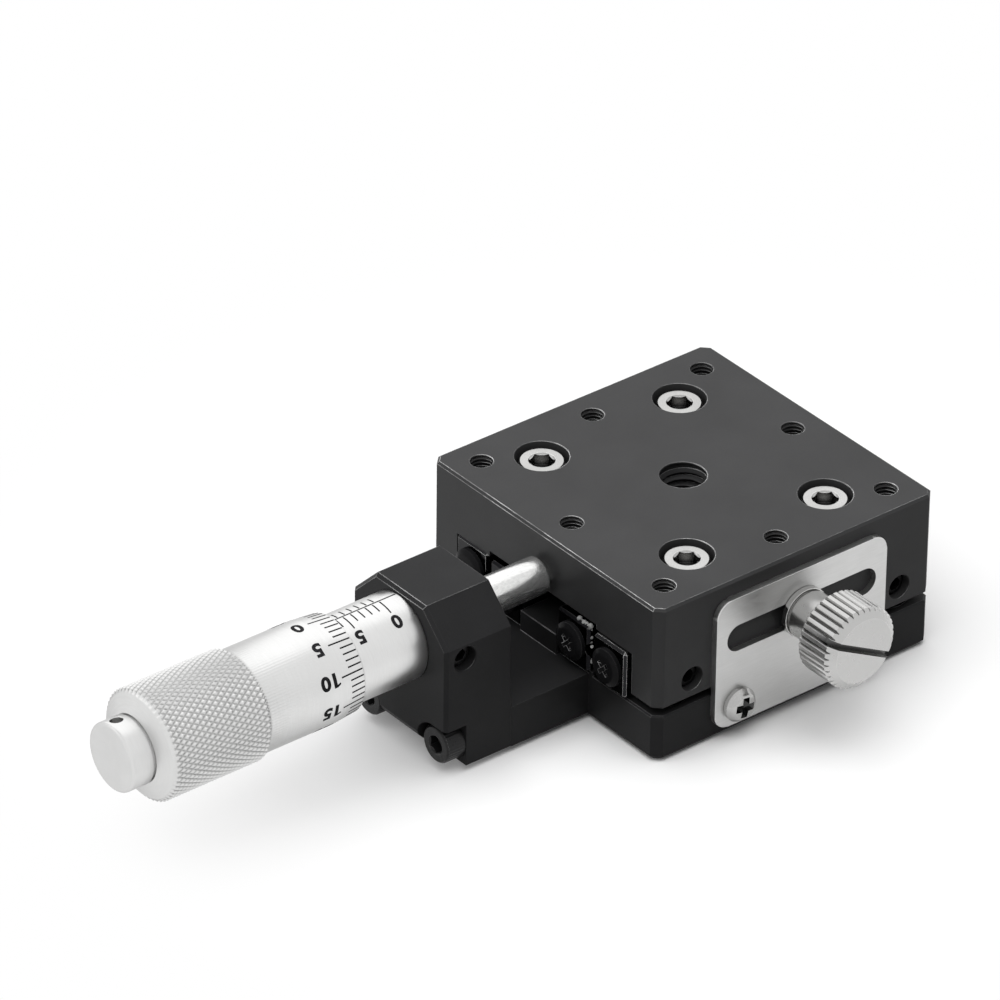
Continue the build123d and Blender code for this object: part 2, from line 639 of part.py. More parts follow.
def thimble_cap():
    """End cap whose stud draws the thimble onto the spindle's taper."""
    end = THIMBLE_END - CAP_LENGTH
    stud_end = THIMBLE_END + CAP_STUD_LENGTH
    body = turned([
        (stud_end, 0), (stud_end, CAP_STUD_R - CAP_STUD_BREAK),
        (stud_end - CAP_STUD_BREAK, CAP_STUD_R),
        (THIMBLE_END, CAP_STUD_R), (THIMBLE_END, CAP_R - CAP_GROOVE),
        (THIMBLE_END - CAP_GROOVE, CAP_R - CAP_GROOVE), (THIMBLE_END - CAP_GROOVE, CAP_R),
        (end + CAP_BREAK, CAP_R), (end, CAP_R - CAP_BREAK), (end, 0),
    ])
    hole = upright(0, 0, CAP_R - SPANNER_DEPTH, CAP_R + PAST, SPANNER_R)
    x = THIMBLE_END - CAP_LENGTH / 2 - CAP_GROOVE / 2
    return body - Pos(x, 0, MIC_HEIGHT) * Rot(-SPANNER_ANGLE, 0, 0) * hole


def spindle_anvil():
    """Hardened pin in the table's face that the spindle's tip bears on."""
    return along_x(ANVIL_FACE, -HALF + ANVIL_DEPTH, 0, MIC_HEIGHT, ANVIL_R)


def clamp_plate():
    """Slotted plate on the base's side that the clamp screw grips."""
    centre_z = PLATE_BOTTOM + PLATE_HEIGHT / 2
    outline = RectangleRounded(PLATE_WIDTH, PLATE_HEIGHT, PLATE_CORNER)
    outline -= Pos(0, CLAMP_Z - centre_z) * SlotOverall(SLOT_LENGTH, SLOT_WIDTH)
    for sign in (-1, 1):
        outline -= Pos(sign * PLATE_SCREW_X, PLATE_SCREW_Z - centre_z) * Circle(M25_PASS_R)
    return Pos(0, -HALF, centre_z) * Rot(90, 0, 0) * extrude(outline, PLATE_THICKNESS)


def clamp_plate_screws():
    """Pan head screws that hold the plate to the base."""
    screw = pan_screw(
        PLATE_SCREW_HEAD_R, PLATE_SCREW_HEAD, PLATE_SCREW_HEAD_R, M25_SCREW_R, PLATE_SCREW_LENGTH
    )
    return [
        Pos(sign * PLATE_SCREW_X, PLATE_FACE, PLATE_SCREW_Z) * Rot(90, 0, 0) * screw
        for sign in (-1, 1)
    ]


def clamp_washer():
    """Washer between the plate and the knob."""
    outer = PLATE_FACE - WASHER_GAP
    bore = M3_R + SCREW_CLEARANCE
    return turned_y([(outer, bore), (outer, WASHER_R), (WASHER_FACE, WASHER_R), (WASHER_FACE, bore)])


def fluted_bar():
    """A bar along Y, as long as the knob's head, with V flutes all round."""
    step = 2 * pi / FLUTE_COUNT
    crest = step * FLUTE_CREST / 2
    points = []
    for index in range(FLUTE_COUNT):
        middle = index * step
        for angle, radius in (
            (middle - crest, KNOB_R), (middle + crest, KNOB_R),
            (middle + step / 2, KNOB_R - FLUTE_DEPTH),
        ):
            points.append((radius * cos(angle), HEAD_START + PAST, CLAMP_Z + radius * sin(angle)))
    face = make_face(Polyline(*points, close=True))
    return extrude(face, KNOB_LENGTH + 2 * PAST, dir=(0, -1, 0))


def clamp_knob():
    """Fluted knob with its neck, screwdriver slot and threaded stud."""
    tip = -HALF + STUD_HOLE_DEPTH - STUD_END_ROOM
    inner = M3_SCREW_R
    groove_r = NECK_R - NECK_GROOVE
    stem = turned_y([
        (tip, 0), (tip, inner - CLAMP_STUD_BREAK), (tip - CLAMP_STUD_BREAK, inner),
        (NECK_START, inner),
        (NECK_START, groove_r), (NECK_START - NECK_GROOVE, groove_r),
        (NECK_START - NECK_GROOVE, NECK_R), (HEAD_START - PAST, NECK_R), (HEAD_START - PAST, 0),
    ])
    trim_r = KNOB_R + FLUTE_ROOM
    head = turned_y([
        (HEAD_START, 0), (HEAD_START, KNOB_R - KNOB_BREAK), (HEAD_START - KNOB_BREAK, trim_r),
        (KNOB_FACE + KNOB_FACE_CHAMFER, trim_r), (KNOB_FACE, KNOB_FACE_R),
        (KNOB_FACE, 0),
    ])
    head &= fluted_bar()
    slot = Pos(0, KNOB_FACE, CLAMP_Z) * Rot(0, KNOB_SLOT_ANGLE, 0)
    slot *= Box(3 * KNOB_R, 2 * KNOB_SLOT_DEPTH, KNOB_SLOT_WIDTH)
    return stem + head - slot


def spring_post(x, seat, reach, direction):
    """A spring post at x, pressed into a face at z seat, with a collar past the loop."""
    low, high = sorted((seat - direction * POST_PRESS, reach))
    post = upright(x, 0, low, high, POST_R - POST_FIT)
    collar_low, collar_high = sorted((reach - direction * POST_COLLAR, reach))
    return post + upright(x, 0, collar_low, collar_high, POST_COLLAR_R)


def spring_post_base():
    """Post in the base's rib that holds the spring's fixed end."""
    return spring_post(BASE_POST_X, RIB_TOP, SPRING_Z + WIRE_R + POST_BEYOND + POST_COLLAR / 2, 1)


def spring_post_table():
    """Post in the table's ceiling that holds the spring's moving end."""
    return spring_post(TABLE_POST_X, CEILING, SPRING_Z - WIRE_R - POST_BEYOND - POST_COLLAR / 2, -1)


def spring_half():
    """The fixed half of the spring: its hook round the base's post and half of the coils."""
    middle = (BASE_POST_X + TABLE_POST_X) / 2
    length = SPRING_COILS * SPRING_PITCH / 2
    start = (middle - length, 0, SPRING_Z)
    path = Helix(SPRING_PITCH, length, SPRING_R, center=start, direction=(1, 0, 0))
    begin = path @ 0
    coils = sweep(Plane(origin=begin, z_dir=path % 0) * Circle(WIRE_R), path, is_frenet=True)
    anchor = Vector(BASE_POST_X + LOOP_R, 0, SPRING_Z)
    link = Plane(origin=anchor, z_dir=begin - anchor) * Circle(WIRE_R)
    hook = extrude(link, (begin - anchor).length)
    hook += Pos(begin.X, begin.Y, begin.Z) * Sphere(WIRE_R + WIRE_BLEND)
    hook += Pos(BASE_POST_X, 0, SPRING_Z) * Torus(LOOP_R, WIRE_R)
    return hook + coils


def return_spring():
    """Extension spring between the two posts, which pulls the table towards the spindle."""
    middle = (BASE_POST_X + TABLE_POST_X) / 2
    half = spring_half()
    return half + Pos(middle, 0, 0) * Rot(0, 0, 180) * Pos(-middle, 0, 0) * half


def pieces():
    """Every node's name with its solid or solids."""
    no_shift = {"front": 0.0, "rear": 0.0}
    made = {
        "base_plate": base_plate(),
        "table": table(),
        "micrometer_bracket": micrometer_bracket(),
        "bracket_screws": bracket_screws(),
        "sleeve_set_screw": sleeve_set_screw(),
        "table_rail_screws": table_rail_screws(),
        "base_rail_screws": base_rail_screws(),
        "preload_set_screws": preload_set_screws(),
        "outer_rail_end_screws": rail_end_screws(OUTER_FACE + RAIL_WIDTH / 2, OUTER_RAIL_SHIFT),
        "inner_rail_end_screws": rail_end_screws(INNER_FACE - RAIL_WIDTH / 2, no_shift),
        "clamp_plate": clamp_plate(),
        "clamp_plate_screws": clamp_plate_screws(),
        "clamp_washer": clamp_washer(),
        "clamp_knob": clamp_knob(),
        "micrometer_sleeve": micrometer_sleeve(),
        "spindle_nut": spindle_nut(),
        "spindle": spindle(),
        "thimble": thimble(),
        "thimble_cap": thimble_cap(),
        "spindle_anvil": spindle_anvil(),
        "return_spring": return_spring(),
        "spring_post_base": spring_post_base(),
        "spring_post_table": spring_post_table(),
    }
    for side in SIDES:
        made[f"outer_rail_{side}"] = outer_rail(side)
        made[f"inner_rail_{side}"] = inner_rail(side)
        made[f"roller_cage_{side}"] = roller_cage(side)
        for index in range(ROLLER_COUNT):
            made[f"roller_{side}_{index + 1}"] = roller(side, index)
    return made


os.makedirs("parts", exist_ok=True)
for name, shape in pieces().items():
    if isinstance(shape, list):
        shape = Compound(children=shape)
    export_step(shape, f"parts/{name}.step")
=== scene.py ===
import logging
from collections.abc import Callable, Sequence
from dataclasses import dataclass, replace
from enum import Enum
from functools import cache, reduce
from math import acos, atan2, cos, hypot, pi, radians, sin, sqrt, tan, tau

import bmesh
import bpy
from bmesh.types import BMesh
from bpy.types import Material, Mesh, Node, NodeSocket, NodeTree, Object
from mathutils import Matrix, Vector


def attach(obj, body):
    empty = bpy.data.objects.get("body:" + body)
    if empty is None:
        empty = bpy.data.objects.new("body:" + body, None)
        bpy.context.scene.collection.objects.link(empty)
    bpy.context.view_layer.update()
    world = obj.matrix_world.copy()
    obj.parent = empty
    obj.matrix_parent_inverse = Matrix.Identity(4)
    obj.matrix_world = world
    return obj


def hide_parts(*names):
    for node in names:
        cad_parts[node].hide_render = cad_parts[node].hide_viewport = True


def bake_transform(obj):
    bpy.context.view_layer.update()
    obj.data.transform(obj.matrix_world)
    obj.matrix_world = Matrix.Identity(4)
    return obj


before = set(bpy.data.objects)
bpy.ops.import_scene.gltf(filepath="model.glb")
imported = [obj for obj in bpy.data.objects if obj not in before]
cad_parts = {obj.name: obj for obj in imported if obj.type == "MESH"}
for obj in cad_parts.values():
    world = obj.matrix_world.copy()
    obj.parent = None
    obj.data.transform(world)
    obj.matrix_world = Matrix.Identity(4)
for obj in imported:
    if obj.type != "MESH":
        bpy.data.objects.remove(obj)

# Looks of the crossed roller linear stage. Sizes in the classes are millimetres in the
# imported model's frame. Every mesh is made in millimetres and scaled to metres at its end.

LOG = logging.getLogger("stage")
MM = 0.001
SMOOTH_ANGLE = radians(28)
WELD = 1e-5
CLEAR = 1.0  # how far a cutting shape stands past the face that it cuts

# Sizes that several pieces share.
HALF = 20.0  # half of the side of the table and of the base
CORNER = 1.0  # how far their corners are cut
GRID = 16.0  # spacing of their fixing holes
PASS_R = 1.7  # a hole that an M3 screw passes through
GUIDE_Z = 9.4  # the middle of the guides
AXIS_Z = 15.0  # the micrometer's axis
CLAMP_Z = 12.85  # the clamp's stud

Point = tuple[float, float, float]
Flat = tuple[float, float]
Colour = tuple[float, float, float]
Term = NodeSocket | float  # an output, or a number in its place
Held = Term | Sequence[float] | str | bpy.types.ID  # what a node's input can be given


class Axis(Enum):
    """The axes that round pieces turn about: along, zero angle and quarter turn."""

    X = ((1, 0, 0), (0, 0, 1), (0, -1, 0))
    Y = ((0, 1, 0), (1, 0, 0), (0, 0, 1))
    Z = ((0, 0, 1), (1, 0, 0), (0, 1, 0))

    def place(self, centre: Point, along: float, radius: float, angle: float) -> Vector:
        """A point at a distance along the axis, a radius and an angle."""
        a, u, v = (Vector(part) for part in self.value)
        return Vector(centre) + a * along + (u * cos(angle) + v * sin(angle)) * radius

    def flat(self, along: float, u: float, v: float) -> Vector:
        """A point at a distance along the axis and two coordinates across it."""
        a, du, dv = (Vector(part) for part in self.value)
        return a * along + du * u + dv * v


def soften(outline: Sequence[Point], steps: int = 3, margin: float = 0.05) -> list[Flat]:
    """Rounds the corners of an outline, whose last point joins the first.

    Args:
        outline: points (a, b, radius of that corner), a radius of 0 keeps it sharp.
        steps: segments in each rounded corner.
        margin: distance of the extra points that keep the shading flat beside a corner.

    Returns:
        The points of the rounded outline.
    """
    most, room = 0.48, 2.2  # shares of a side for a corner, and of a corner for its points
    made: list[Flat] = []
    for index, (a, b, radius) in enumerate(outline):
        if radius <= 0:
            made.append((a, b))
            continue
        here = Vector((a, b))
        before = Vector(outline[index - 1][:2]) - here
        after = Vector(outline[(index + 1) % len(outline)][:2]) - here
        one, two = before.normalized(), after.normalized()
        half = acos(max(-1.0, min(1.0, one.dot(two)))) / 2
        reach = min(radius / tan(half), before.length * most, after.length * most)
        middle = here + (one + two).normalized() * (reach * tan(half) / sin(half))
        start, stop = here + one * reach, here + two * reach
        sweep = (start - middle).angle(stop - middle)
        if before.length > room * (reach + margin):
            made.append(tuple(start + one * margin))
        for step in range(steps + 1):
            first = sin((1 - step / steps) * sweep) / sin(sweep)
            last = sin(step / steps * sweep) / sin(sweep)
            made.append(tuple(middle + (start - middle) * first + (stop - middle) * last))
        if after.length > room * (reach + margin):
            made.append(tuple(stop + two * margin))
    return made


def lathe(
    outline: Sequence[Flat], axis: Axis, centre: Point = (0, 0, 0), segments: int = 96
) -> BMesh:
    """Turns a closed outline about an axis.

    Args:
        outline: points (distance along the axis, radius), a closed loop.
        axis: what it turns about.
        centre: a point of the axis.
        segments: steps round the axis.

    Returns:
        The closed mesh.
    """
    bm = bmesh.new()
    rings = []
    for along, radius in outline:
        turns = [tau * step / segments for step in range(segments)] if radius > WELD else [0.0]
        rings.append([bm.verts.new(axis.place(centre, along, radius, turn)) for turn in turns])
    for ring, other in zip(rings, rings[1:] + rings[:1]):
        if len(ring) == 1 and len(other) == 1:
            continue
        for step in range(segments):
            following = (step + 1) % segments
            corners = [
                ring[step % len(ring)], ring[following % len(ring)],
                other[following % len(other)], other[step % len(other)],
            ]
            bm.faces.new(list(dict.fromkeys(corners)))
    bmesh.ops.recalc_face_normals(bm, faces=bm.faces)
    return bm


def turned(
    outline: Sequence[Point], axis: Axis, z: float = 0.0, segments: int = 96, steps: int = 3,
    margin: float = 0.05,
) -> BMesh:
    """Turns an outline with rounded corners about an axis at a height, as soften and lathe do."""
    return lathe(soften(outline, steps, margin), axis, (0, 0, z), segments)


def bore(axis: Axis, centre: Point, steps: Sequence[Flat], segments: int = 64) -> BMesh:
    """The space of a stepped hole, from points (distance along the axis, radius)."""
    return lathe([(steps[0][0], 0.0), *steps, (steps[-1][0], 0.0)], axis, centre, segments)


def prism(outline: Sequence[Flat], axis: Axis, low: float, high: float) -> BMesh:
    """Extrudes a closed outline along an axis.

    Args:
        outline: points across the axis, in the axis's own two directions.
        axis: the direction of the extrusion.
        low: where it starts.
        high: where it ends.

    Returns:
        The closed mesh.
    """
    bm = bmesh.new()
    lower, upper = ([bm.verts.new(axis.flat(level, u, v)) for u, v in outline]
                    for level in (low, high))
    bm.faces.new(lower)
    bm.faces.new(upper)
    for index in range(len(outline)):
        after = (index + 1) % len(outline)
        bm.faces.new((lower[index], lower[after], upper[after], upper[index]))
    bmesh.ops.recalc_face_normals(bm, faces=bm.faces)
    return bm


def along_x(points: Sequence[Flat], low: float, high: float) -> BMesh:
    """A prism along X from an outline of (y, z) points."""
    return prism([(z, -y) for y, z in points], Axis.X, low, high)


def block(low: Point, high: Point) -> BMesh:
    """A box between two corners."""
    outline = [(low[0], low[1]), (high[0], low[1]), (high[0], high[1]), (low[0], high[1])]
    return prism(outline, Axis.Z, low[2], high[2])


def bevel_where(bm: BMesh, width: float, test: Callable[[Vector, Vector], bool]) -> None:
    """Bevels the edges that a test of their two ends picks."""
    picked = [edge for edge in bm.edges if test(edge.verts[0].co, edge.verts[1].co)]
    bmesh.ops.bevel(
        bm, geom=picked, offset=width, offset_type="OFFSET", segments=1, profile=0.5,
        affect="EDGES",
    )


def square_plate(low: float, high: float) -> BMesh:
    """The upright block that the table and the base are cut from, with its corners cut."""
    inner = HALF - CORNER
    return prism([
        (-inner, -HALF), (inner, -HALF), (HALF, -inner), (HALF, inner),
        (inner, HALF), (-inner, HALF), (-HALF, inner), (-HALF, -inner),
    ], Axis.Z, low, high)


def corners_of(half_x: float, half_y: float) -> list[Flat]:
    """The four corners of a rectangle about the origin."""
    return [(sx * half_x, sy * half_y) for sx in (-1, 1) for sy in (-1, 1)]


def plain_mesh(source: BMesh | Mesh, name: str) -> Mesh:
    """Gives a mesh block its name.

    Args:
        source: a mesh, or one that is being edited, which is freed.
        name: the block's name.

    Returns:
        The mesh block.
    """
    if isinstance(source, Mesh):
        source.name = name
        return source
    mesh = bpy.data.meshes.new(name)
    source.to_mesh(mesh)
    source.free()
    return mesh


def shown(name: str, data: BMesh | bpy.types.ID) -> Object:
    """Puts a new object in the scene.

    Args:
        name: its name.
        data: its mesh, curve, camera or lamp.

    Returns:
        The object.
    """
    if isinstance(data, BMesh):
        data = plain_mesh(data, name)
    made = bpy.data.objects.new(name, data)
    bpy.context.scene.collection.objects.link(made)
    return made


def discard(used: Object) -> None:
    """Removes an object with what it shows.

    Args:
        used: an object that holds a mesh or a curve.
    """
    data = used.data
    bpy.data.objects.remove(used)
    (bpy.data.meshes if isinstance(data, Mesh) else bpy.data.curves).remove(data)


def melted(holder: Object) -> Mesh:
    """Turns an object with its modifiers into a plain mesh.

    Args:
        holder: the object, removed here.

    Returns:
        The mesh that it showed.
    """
    graph = bpy.context.evaluated_depsgraph_get()
    mesh = bpy.data.meshes.new_from_object(holder.evaluated_get(graph))
    discard(holder)
    return mesh


def joined(parts: Sequence[BMesh | Mesh]) -> BMesh:
    """Puts meshes together.

    Args:
        parts: the meshes, freed here.

    Returns:
        All of them as one.
    """
    whole = bmesh.new()
    for part in parts:
        mesh = plain_mesh(part, "part")
        whole.from_mesh(mesh)
        bpy.data.meshes.remove(mesh)
    return whole


def moved(bm: BMesh, matrix: Matrix) -> BMesh:
    """The same mesh, moved by a matrix."""
    bmesh.ops.transform(bm, matrix=matrix, verts=bm.verts)
    return bm


class Cut(Enum):
    """What a boolean does with its two meshes."""

    AWAY = "DIFFERENCE"
    TOGETHER = "UNION"
    COMMON = "INTERSECT"


def boolean(body: BMesh, tools: Sequence[BMesh], cut: Cut = Cut.AWAY) -> BMesh:
    """Cuts, joins or crosses one mesh with several that don't touch each other.

    Args:
        body: the mesh that stays, freed here.
        tools: the meshes it is combined with, freed here.
        cut: what is done.

    Returns:
        The combined mesh.
    """
    target = shown("boolean_body", body)
    cutter = shown("boolean_tool", joined(tools))
    modifier = target.modifiers.new("cut", "BOOLEAN")
    modifier.object = cutter
    modifier.operation = cut.value
    modifier.solver = "EXACT"
    result = joined([melted(target)])
    discard(cutter)
    return result


class Nodes:
    """Adds nodes to one tree and joins them."""

    def __init__(self, tree: NodeTree) -> None:
        """Keeps the tree."""
        self.tree = tree

    def feed(self, target: NodeSocket, value: Held) -> None:
        """Links an output to an input, or sets the input's value.

        Args:
            target: the input.
            value: an output, or what the input holds.
        """
        if isinstance(value, NodeSocket):
            self.tree.links.new(value, target)
        else:
            target.default_value = value

    def node(
        self, kind: str, sockets: dict[str | int, Held] | None = None, **settings: str | int
    ) -> Node:
        """Adds a node.

        Args:
            kind: the node's type.
            sockets: input names or numbers with the value or the output that they get.
            settings: the node's own settings.

        Returns:
            The new node.
        """
        made = self.tree.nodes.new(kind)
        for key, value in settings.items():
            setattr(made, key, value)
        for key, value in (sockets or {}).items():
            self.feed(made.inputs[key], value)
        return made

    def out(
        self, kind: str, sockets: dict[str | int, Held] | None = None, **settings: str | int
    ) -> NodeSocket:
        """Adds a node and gives its first output."""
        return self.node(kind, sockets, **settings).outputs[0]

    def maths(self, operation: str, *terms: Term, clamp: bool = False) -> NodeSocket:
        """One sum, product or other operation of values or outputs."""
        sockets = dict(enumerate(terms))
        return self.out("ShaderNodeMath", sockets, operation=operation, use_clamp=clamp)

    def product(self, *terms: Term) -> NodeSocket:
        """The product of two or more values or outputs."""
        return reduce(lambda made, term: self.maths("MULTIPLY", made, term), terms)

    def spread(
        self, value: Term, low: float = 0.0, high: float = 1.0, to_low: Term = 0.0,
        to_high: Term = 1.0, **settings: str,
    ) -> NodeSocket:
        """Maps a value's range to another.

        Args:
            value: the value or output.
            low: the start of its range.
            high: the end of its range.
            to_low: what its start becomes.
            to_high: what its end becomes.
            settings: the node's own settings.

        Returns:
            The new value, held inside the range.
        """
        return self.out("ShaderNodeMapRange", {
            "Value": value, "From Min": low, "From Max": high, "To Min": to_low,
            "To Max": to_high,
        }, **settings)

    def split(self, vector: NodeSocket) -> list[NodeSocket]:
        """The three parts of a vector."""
        return self.node("ShaderNodeSeparateXYZ", {0: vector}).outputs[:3]

    def vector(self, x: Term = 0.0, y: Term = 0.0, z: Term = 0.0) -> NodeSocket:
        """A vector from three values or outputs."""
        return self.out("ShaderNodeCombineXYZ", {0: x, 1: y, 2: z})

    def seen(self) -> NodeSocket:
        """Tells looking from lighting.

        Returns:
            1 for a camera, glossy or transmission ray, else 0.
        """
        rays = self.node("ShaderNodeLightPath").outputs
        share = self.maths("MAXIMUM", rays["Is Camera Ray"], rays["Is Glossy Ray"])
        return self.maths("MAXIMUM", share, rays["Is Transmission Ray"])


class Shading(Nodes):
    """The node tree of one material."""

    def __init__(self, name: str) -> None:
        """Makes an empty material that reads object coordinates.

        Args:
            name: the material's name.
        """
        self.material = bpy.data.materials.new(name)
        self.material.use_nodes = True
        super().__init__(self.material.node_tree)
        self.tree.nodes.clear()
        self.place = self.node("ShaderNodeTexCoord").outputs["Object"]

    def show(self, shader: Node) -> None:
        """Makes a shader the material's surface."""
        self.node("ShaderNodeOutputMaterial", {"Surface": shader.outputs[0]})

    def noise(
        self, per_mm: float, detail: float = 3.0, stretch: Point = (1, 1, 1), harsh: float = 0.5
    ) -> NodeSocket:
        """Noise from 0 to 1 with so many features per millimetre, stretched by an axis."""
        place = self.out("ShaderNodeMapping", {"Vector": self.place, "Scale": stretch})
        return self.out("ShaderNodeTexNoise", {
            "Vector": place, "Scale": per_mm / MM, "Detail": detail, "Roughness": harsh,
        })

    def mix(
        self, share: NodeSocket, first: NodeSocket | Colour, second: NodeSocket | Colour
    ) -> NodeSocket:
        """Mixes two colours.

        Args:
            share: how much of the second.
            first: the first colour.
            second: the second colour.

        Returns:
            The mixed colour.
        """
        made = self.node("ShaderNodeMix", {"Factor": share}, data_type="RGBA")
        for socket, value in zip(made.inputs[6:8], (first, second)):
            self.feed(socket, value if isinstance(value, NodeSocket) else (*value, 1.0))
        return made.outputs[2]

    def agreement(self, normal: NodeSocket, other: NodeSocket | Point) -> NodeSocket:
        """The dot product of two directions."""
        return self.node(
            "ShaderNodeVectorMath", {0: normal, 1: other}, operation="DOT_PRODUCT"
        ).outputs["Value"]

    def edges(self, radius: float) -> tuple[NodeSocket, NodeSocket]:
        """Rounds the edges in the shading.

        Args:
            radius: the radius of the rounding.

        Returns:
            The rounded normal, and how near an edge is, from 0 to 1.
        """
        soft = self.out("ShaderNodeBevel", {"Radius": radius * MM}, samples=6)
        true = self.node("ShaderNodeNewGeometry").outputs["Normal"]
        return soft, self.spread(self.agreement(soft, true), low=0.999, high=0.96)

    def recess(self, reach: float) -> NodeSocket:
        """How enclosed a point is, from 0 to 1, within a reach, found by ambient occlusion for
        painted shade.
        """
        sockets = {"Distance": reach * MM}
        openness = self.node("ShaderNodeAmbientOcclusion", sockets, samples=8, only_local=True)
        return self.spread(openness.outputs["AO"], low=0.95, high=0.45)

    def bump(self, height: NodeSocket, depth: float, normal: NodeSocket | None = None
             ) -> NodeSocket:
        """Bumps the surface.

        Args:
            height: the bump's height, from 0 to 1.
            depth: its height in millimetres.
            normal: the normal that it starts from, if not the mesh's own.

        Returns:
            The bumped normal.
        """
        sockets = {"Height": height, "Distance": depth * MM, "Strength": 1.0}
        if normal is not None:
            sockets["Normal"] = normal
        return self.out("ShaderNodeBump", sockets)


@dataclass(frozen=True)
class SurfaceFinish:
    """A machined surface: its colours, gloss and grain, painted highlights on its edges and
    painted shade in its recesses and grooves.

    Colours are linear, the grain has so many features per millimetre, and depths, edges and
    reaches are in millimetres.
    """

    name: str
    slot: str
    colour: Colour
    shade: Colour
    metallic: float
    roughness: Flat
    grain: float = 12.0
    grain_depth: float = 0.004
    stretch: Point = (1, 1, 1)
    cloud: float = 0.12
    edge: float = 0.0
    # Painted highlight: edges get this colour, most where they lean the given way; the specks get
    # it too.
    edge_colour: Colour = (0.5, 0.5, 0.5)
    edge_share: float = 0.0
    specular: float = 0.5
    edge_lean: Point = (0.0, 0.0, 0.0)
    edge_metal: bool = False
    edge_tint: float = 1.0
    specks: float = 0.0
    specks_per_mm: float = 1.6
    # groove and recess set painted shade: marked groove faces and enclosed spots get a dark
    # colour.
    groove: float = 0.0
    recess: float = 0.0
    recess_reach: float = 0.4
    recess_colour: Colour = (0.03, 0.03, 0.03)
    # faces square to the travel get a darker colour, as painted shade
    end_colour: Colour | None = None
    wear: Flat = (0.8, 0.1)  # fine and coarse patches in a millimetre that break up the painted edge highlight
    gloss_patch: float = 0.35  # patches of gloss for each feature of the grain

    def worn(self, shader: Shading, normal: NodeSocket, near: NodeSocket) -> NodeSocket:
        """How much painted highlight an edge gets.

        Args:
            shader: the material's tree.
            normal: the rounded normal.
            near: how near an edge is.

        Returns:
            A share that is patchy, and larger where the edge leans toward the highlight direction.
        """
        per_mm, coarse_per_mm = self.wear
        fine = shader.spread(shader.noise(per_mm, 3.0), low=0.3, high=0.6, to_low=0.4)
        coarse = shader.spread(
            shader.noise(coarse_per_mm, 2.0), low=0.42, high=0.56, to_low=0.45
        )
        facing = shader.spread(shader.agreement(normal, self.edge_lean), low=0.5, high=0.75)
        facing = shader.maths("ADD", facing, self.edge_share, clamp=True)
        return shader.product(near, shader.product(fine, coarse), facing)

    def build(self) -> Material:
        """Builds the node material: layers of colour, among them painted highlights and painted
        shade, then gloss and bump.

        Returns:
            The material.
        """
        shader = Shading(self.name)
        grain = shader.noise(self.grain, 4.0, self.stretch, harsh=0.6)
        share = shader.product(shader.noise(self.cloud, 4.0), grain)
        layers = [(shader.spread(share, low=0.12, high=0.42), self.shade)]
        normal, metallic = None, self.metallic
        # Painted shade: faces square to the travel get a darker colour.
        if self.end_colour:
            along = shader.split(shader.node("ShaderNodeTexCoord").outputs["Normal"])[0]
            end = shader.spread(shader.maths("ABSOLUTE", along), low=0.6, high=0.66)
            layers.append((end, self.end_colour))
        if self.edge > 0:
            normal, near = shader.edges(self.edge)
        # Painted highlight on the edges, patchy, and made metallic there when asked.
        if self.edge_share > 0:
            worn = self.worn(shader, normal, near)
            layers.append((worn, self.edge_colour))
            if self.edge_metal:
                metallic = shader.maths("MAXIMUM", worn, self.metallic)
        if self.specks > 0:
            sockets = {"Vector": shader.place, "Scale": self.specks_per_mm / MM}
            far = shader.out("ShaderNodeTexVoronoi", sockets)
            dots = shader.spread(far, low=0.03, high=0.07, to_low=self.specks, to_high=0.0)
            layers.append((dots, self.edge_colour))
        # Painted shade in recesses, where ambient occlusion finds walls close by.
        if self.recess > 0:
            deep = shader.product(shader.recess(self.recess_reach), self.recess)
            layers.append((deep, self.recess_colour))
        # Painted shade on faces marked as grooves: knurl valleys, screw recesses and the knob's
        # slot.
        if self.groove > 0:
            marks = shader.node("ShaderNodeAttribute", attribute_name="groove").outputs["Fac"]
            pressed = shader.spread(marks, low=0.55, to_high=self.groove)
            layers.append((pressed, self.recess_colour))
        colour = self.colour
        for share, tint in layers:
            colour = shader.mix(share, colour, tint)
        patches = shader.noise(self.grain * self.gloss_patch, 3.0, self.stretch)
        sockets = {
            "Base Color": colour, "Roughness": shader.spread(patches, 0.3, 0.7, *self.roughness),
            "Metallic": metallic, "Specular IOR Level": self.specular,
            "Specular Tint": (*[self.edge_tint] * 3, 1.0),
            "Normal": shader.bump(grain, self.grain_depth, normal),
        }
        shader.show(shader.node("ShaderNodeBsdfPrincipled", sockets))
        return shader.material


@dataclass(frozen=True)
class InkFinish:
    """Black paint in engraved lines and figures."""

    name: str = "engraving_ink"
    slot: str = "satin_chrome"
    colour: Colour = (0.012, 0.012, 0.013)
    faded: Colour = (0.03, 0.03, 0.032)
    roughness: float = 0.75
    specular: float = 0.1

    def build(self) -> Material:
        """Builds the paint, a little uneven where it lies in its grooves.

        Returns:
            The material.
        """
        shader = Shading(self.name)
        patch = shader.spread(shader.noise(per_mm=3.0, detail=4.0), low=0.45, high=0.75)
        shader.show(shader.node("ShaderNodeBsdfPrincipled", {
            "Base Color": shader.mix(patch, self.colour, self.faded),
            "Roughness": self.roughness, "Specular IOR Level": self.specular,
        }))
        return shader.material


@dataclass(frozen=True)
class GreaseFinish:
    """Clear guide grease, shiny where it has run together."""

    name: str = "guide_grease"
    slot: str = "ground_steel"
    colour: Colour = (0.86, 0.86, 0.84)
    roughness: float = 0.08
    index: float = 1.47
    clear: float = 0.7
    ripple: float = 0.05

    def build(self) -> Material:
        """Builds the clear grease with its ripples.

        Returns:
            The material.
        """
        shader = Shading(self.name)
        shader.show(shader.node("ShaderNodeBsdfPrincipled", {
            "Base Color": shader.mix(shader.noise(0.7, 2.0), self.colour, (1.0, 1.0, 1.0)),
            "Roughness": self.roughness, "IOR": self.index, "Transmission Weight": self.clear,
            "Normal": shader.bump(shader.noise(1.2, 3.0), self.ripple),
        }))
        return shader.material


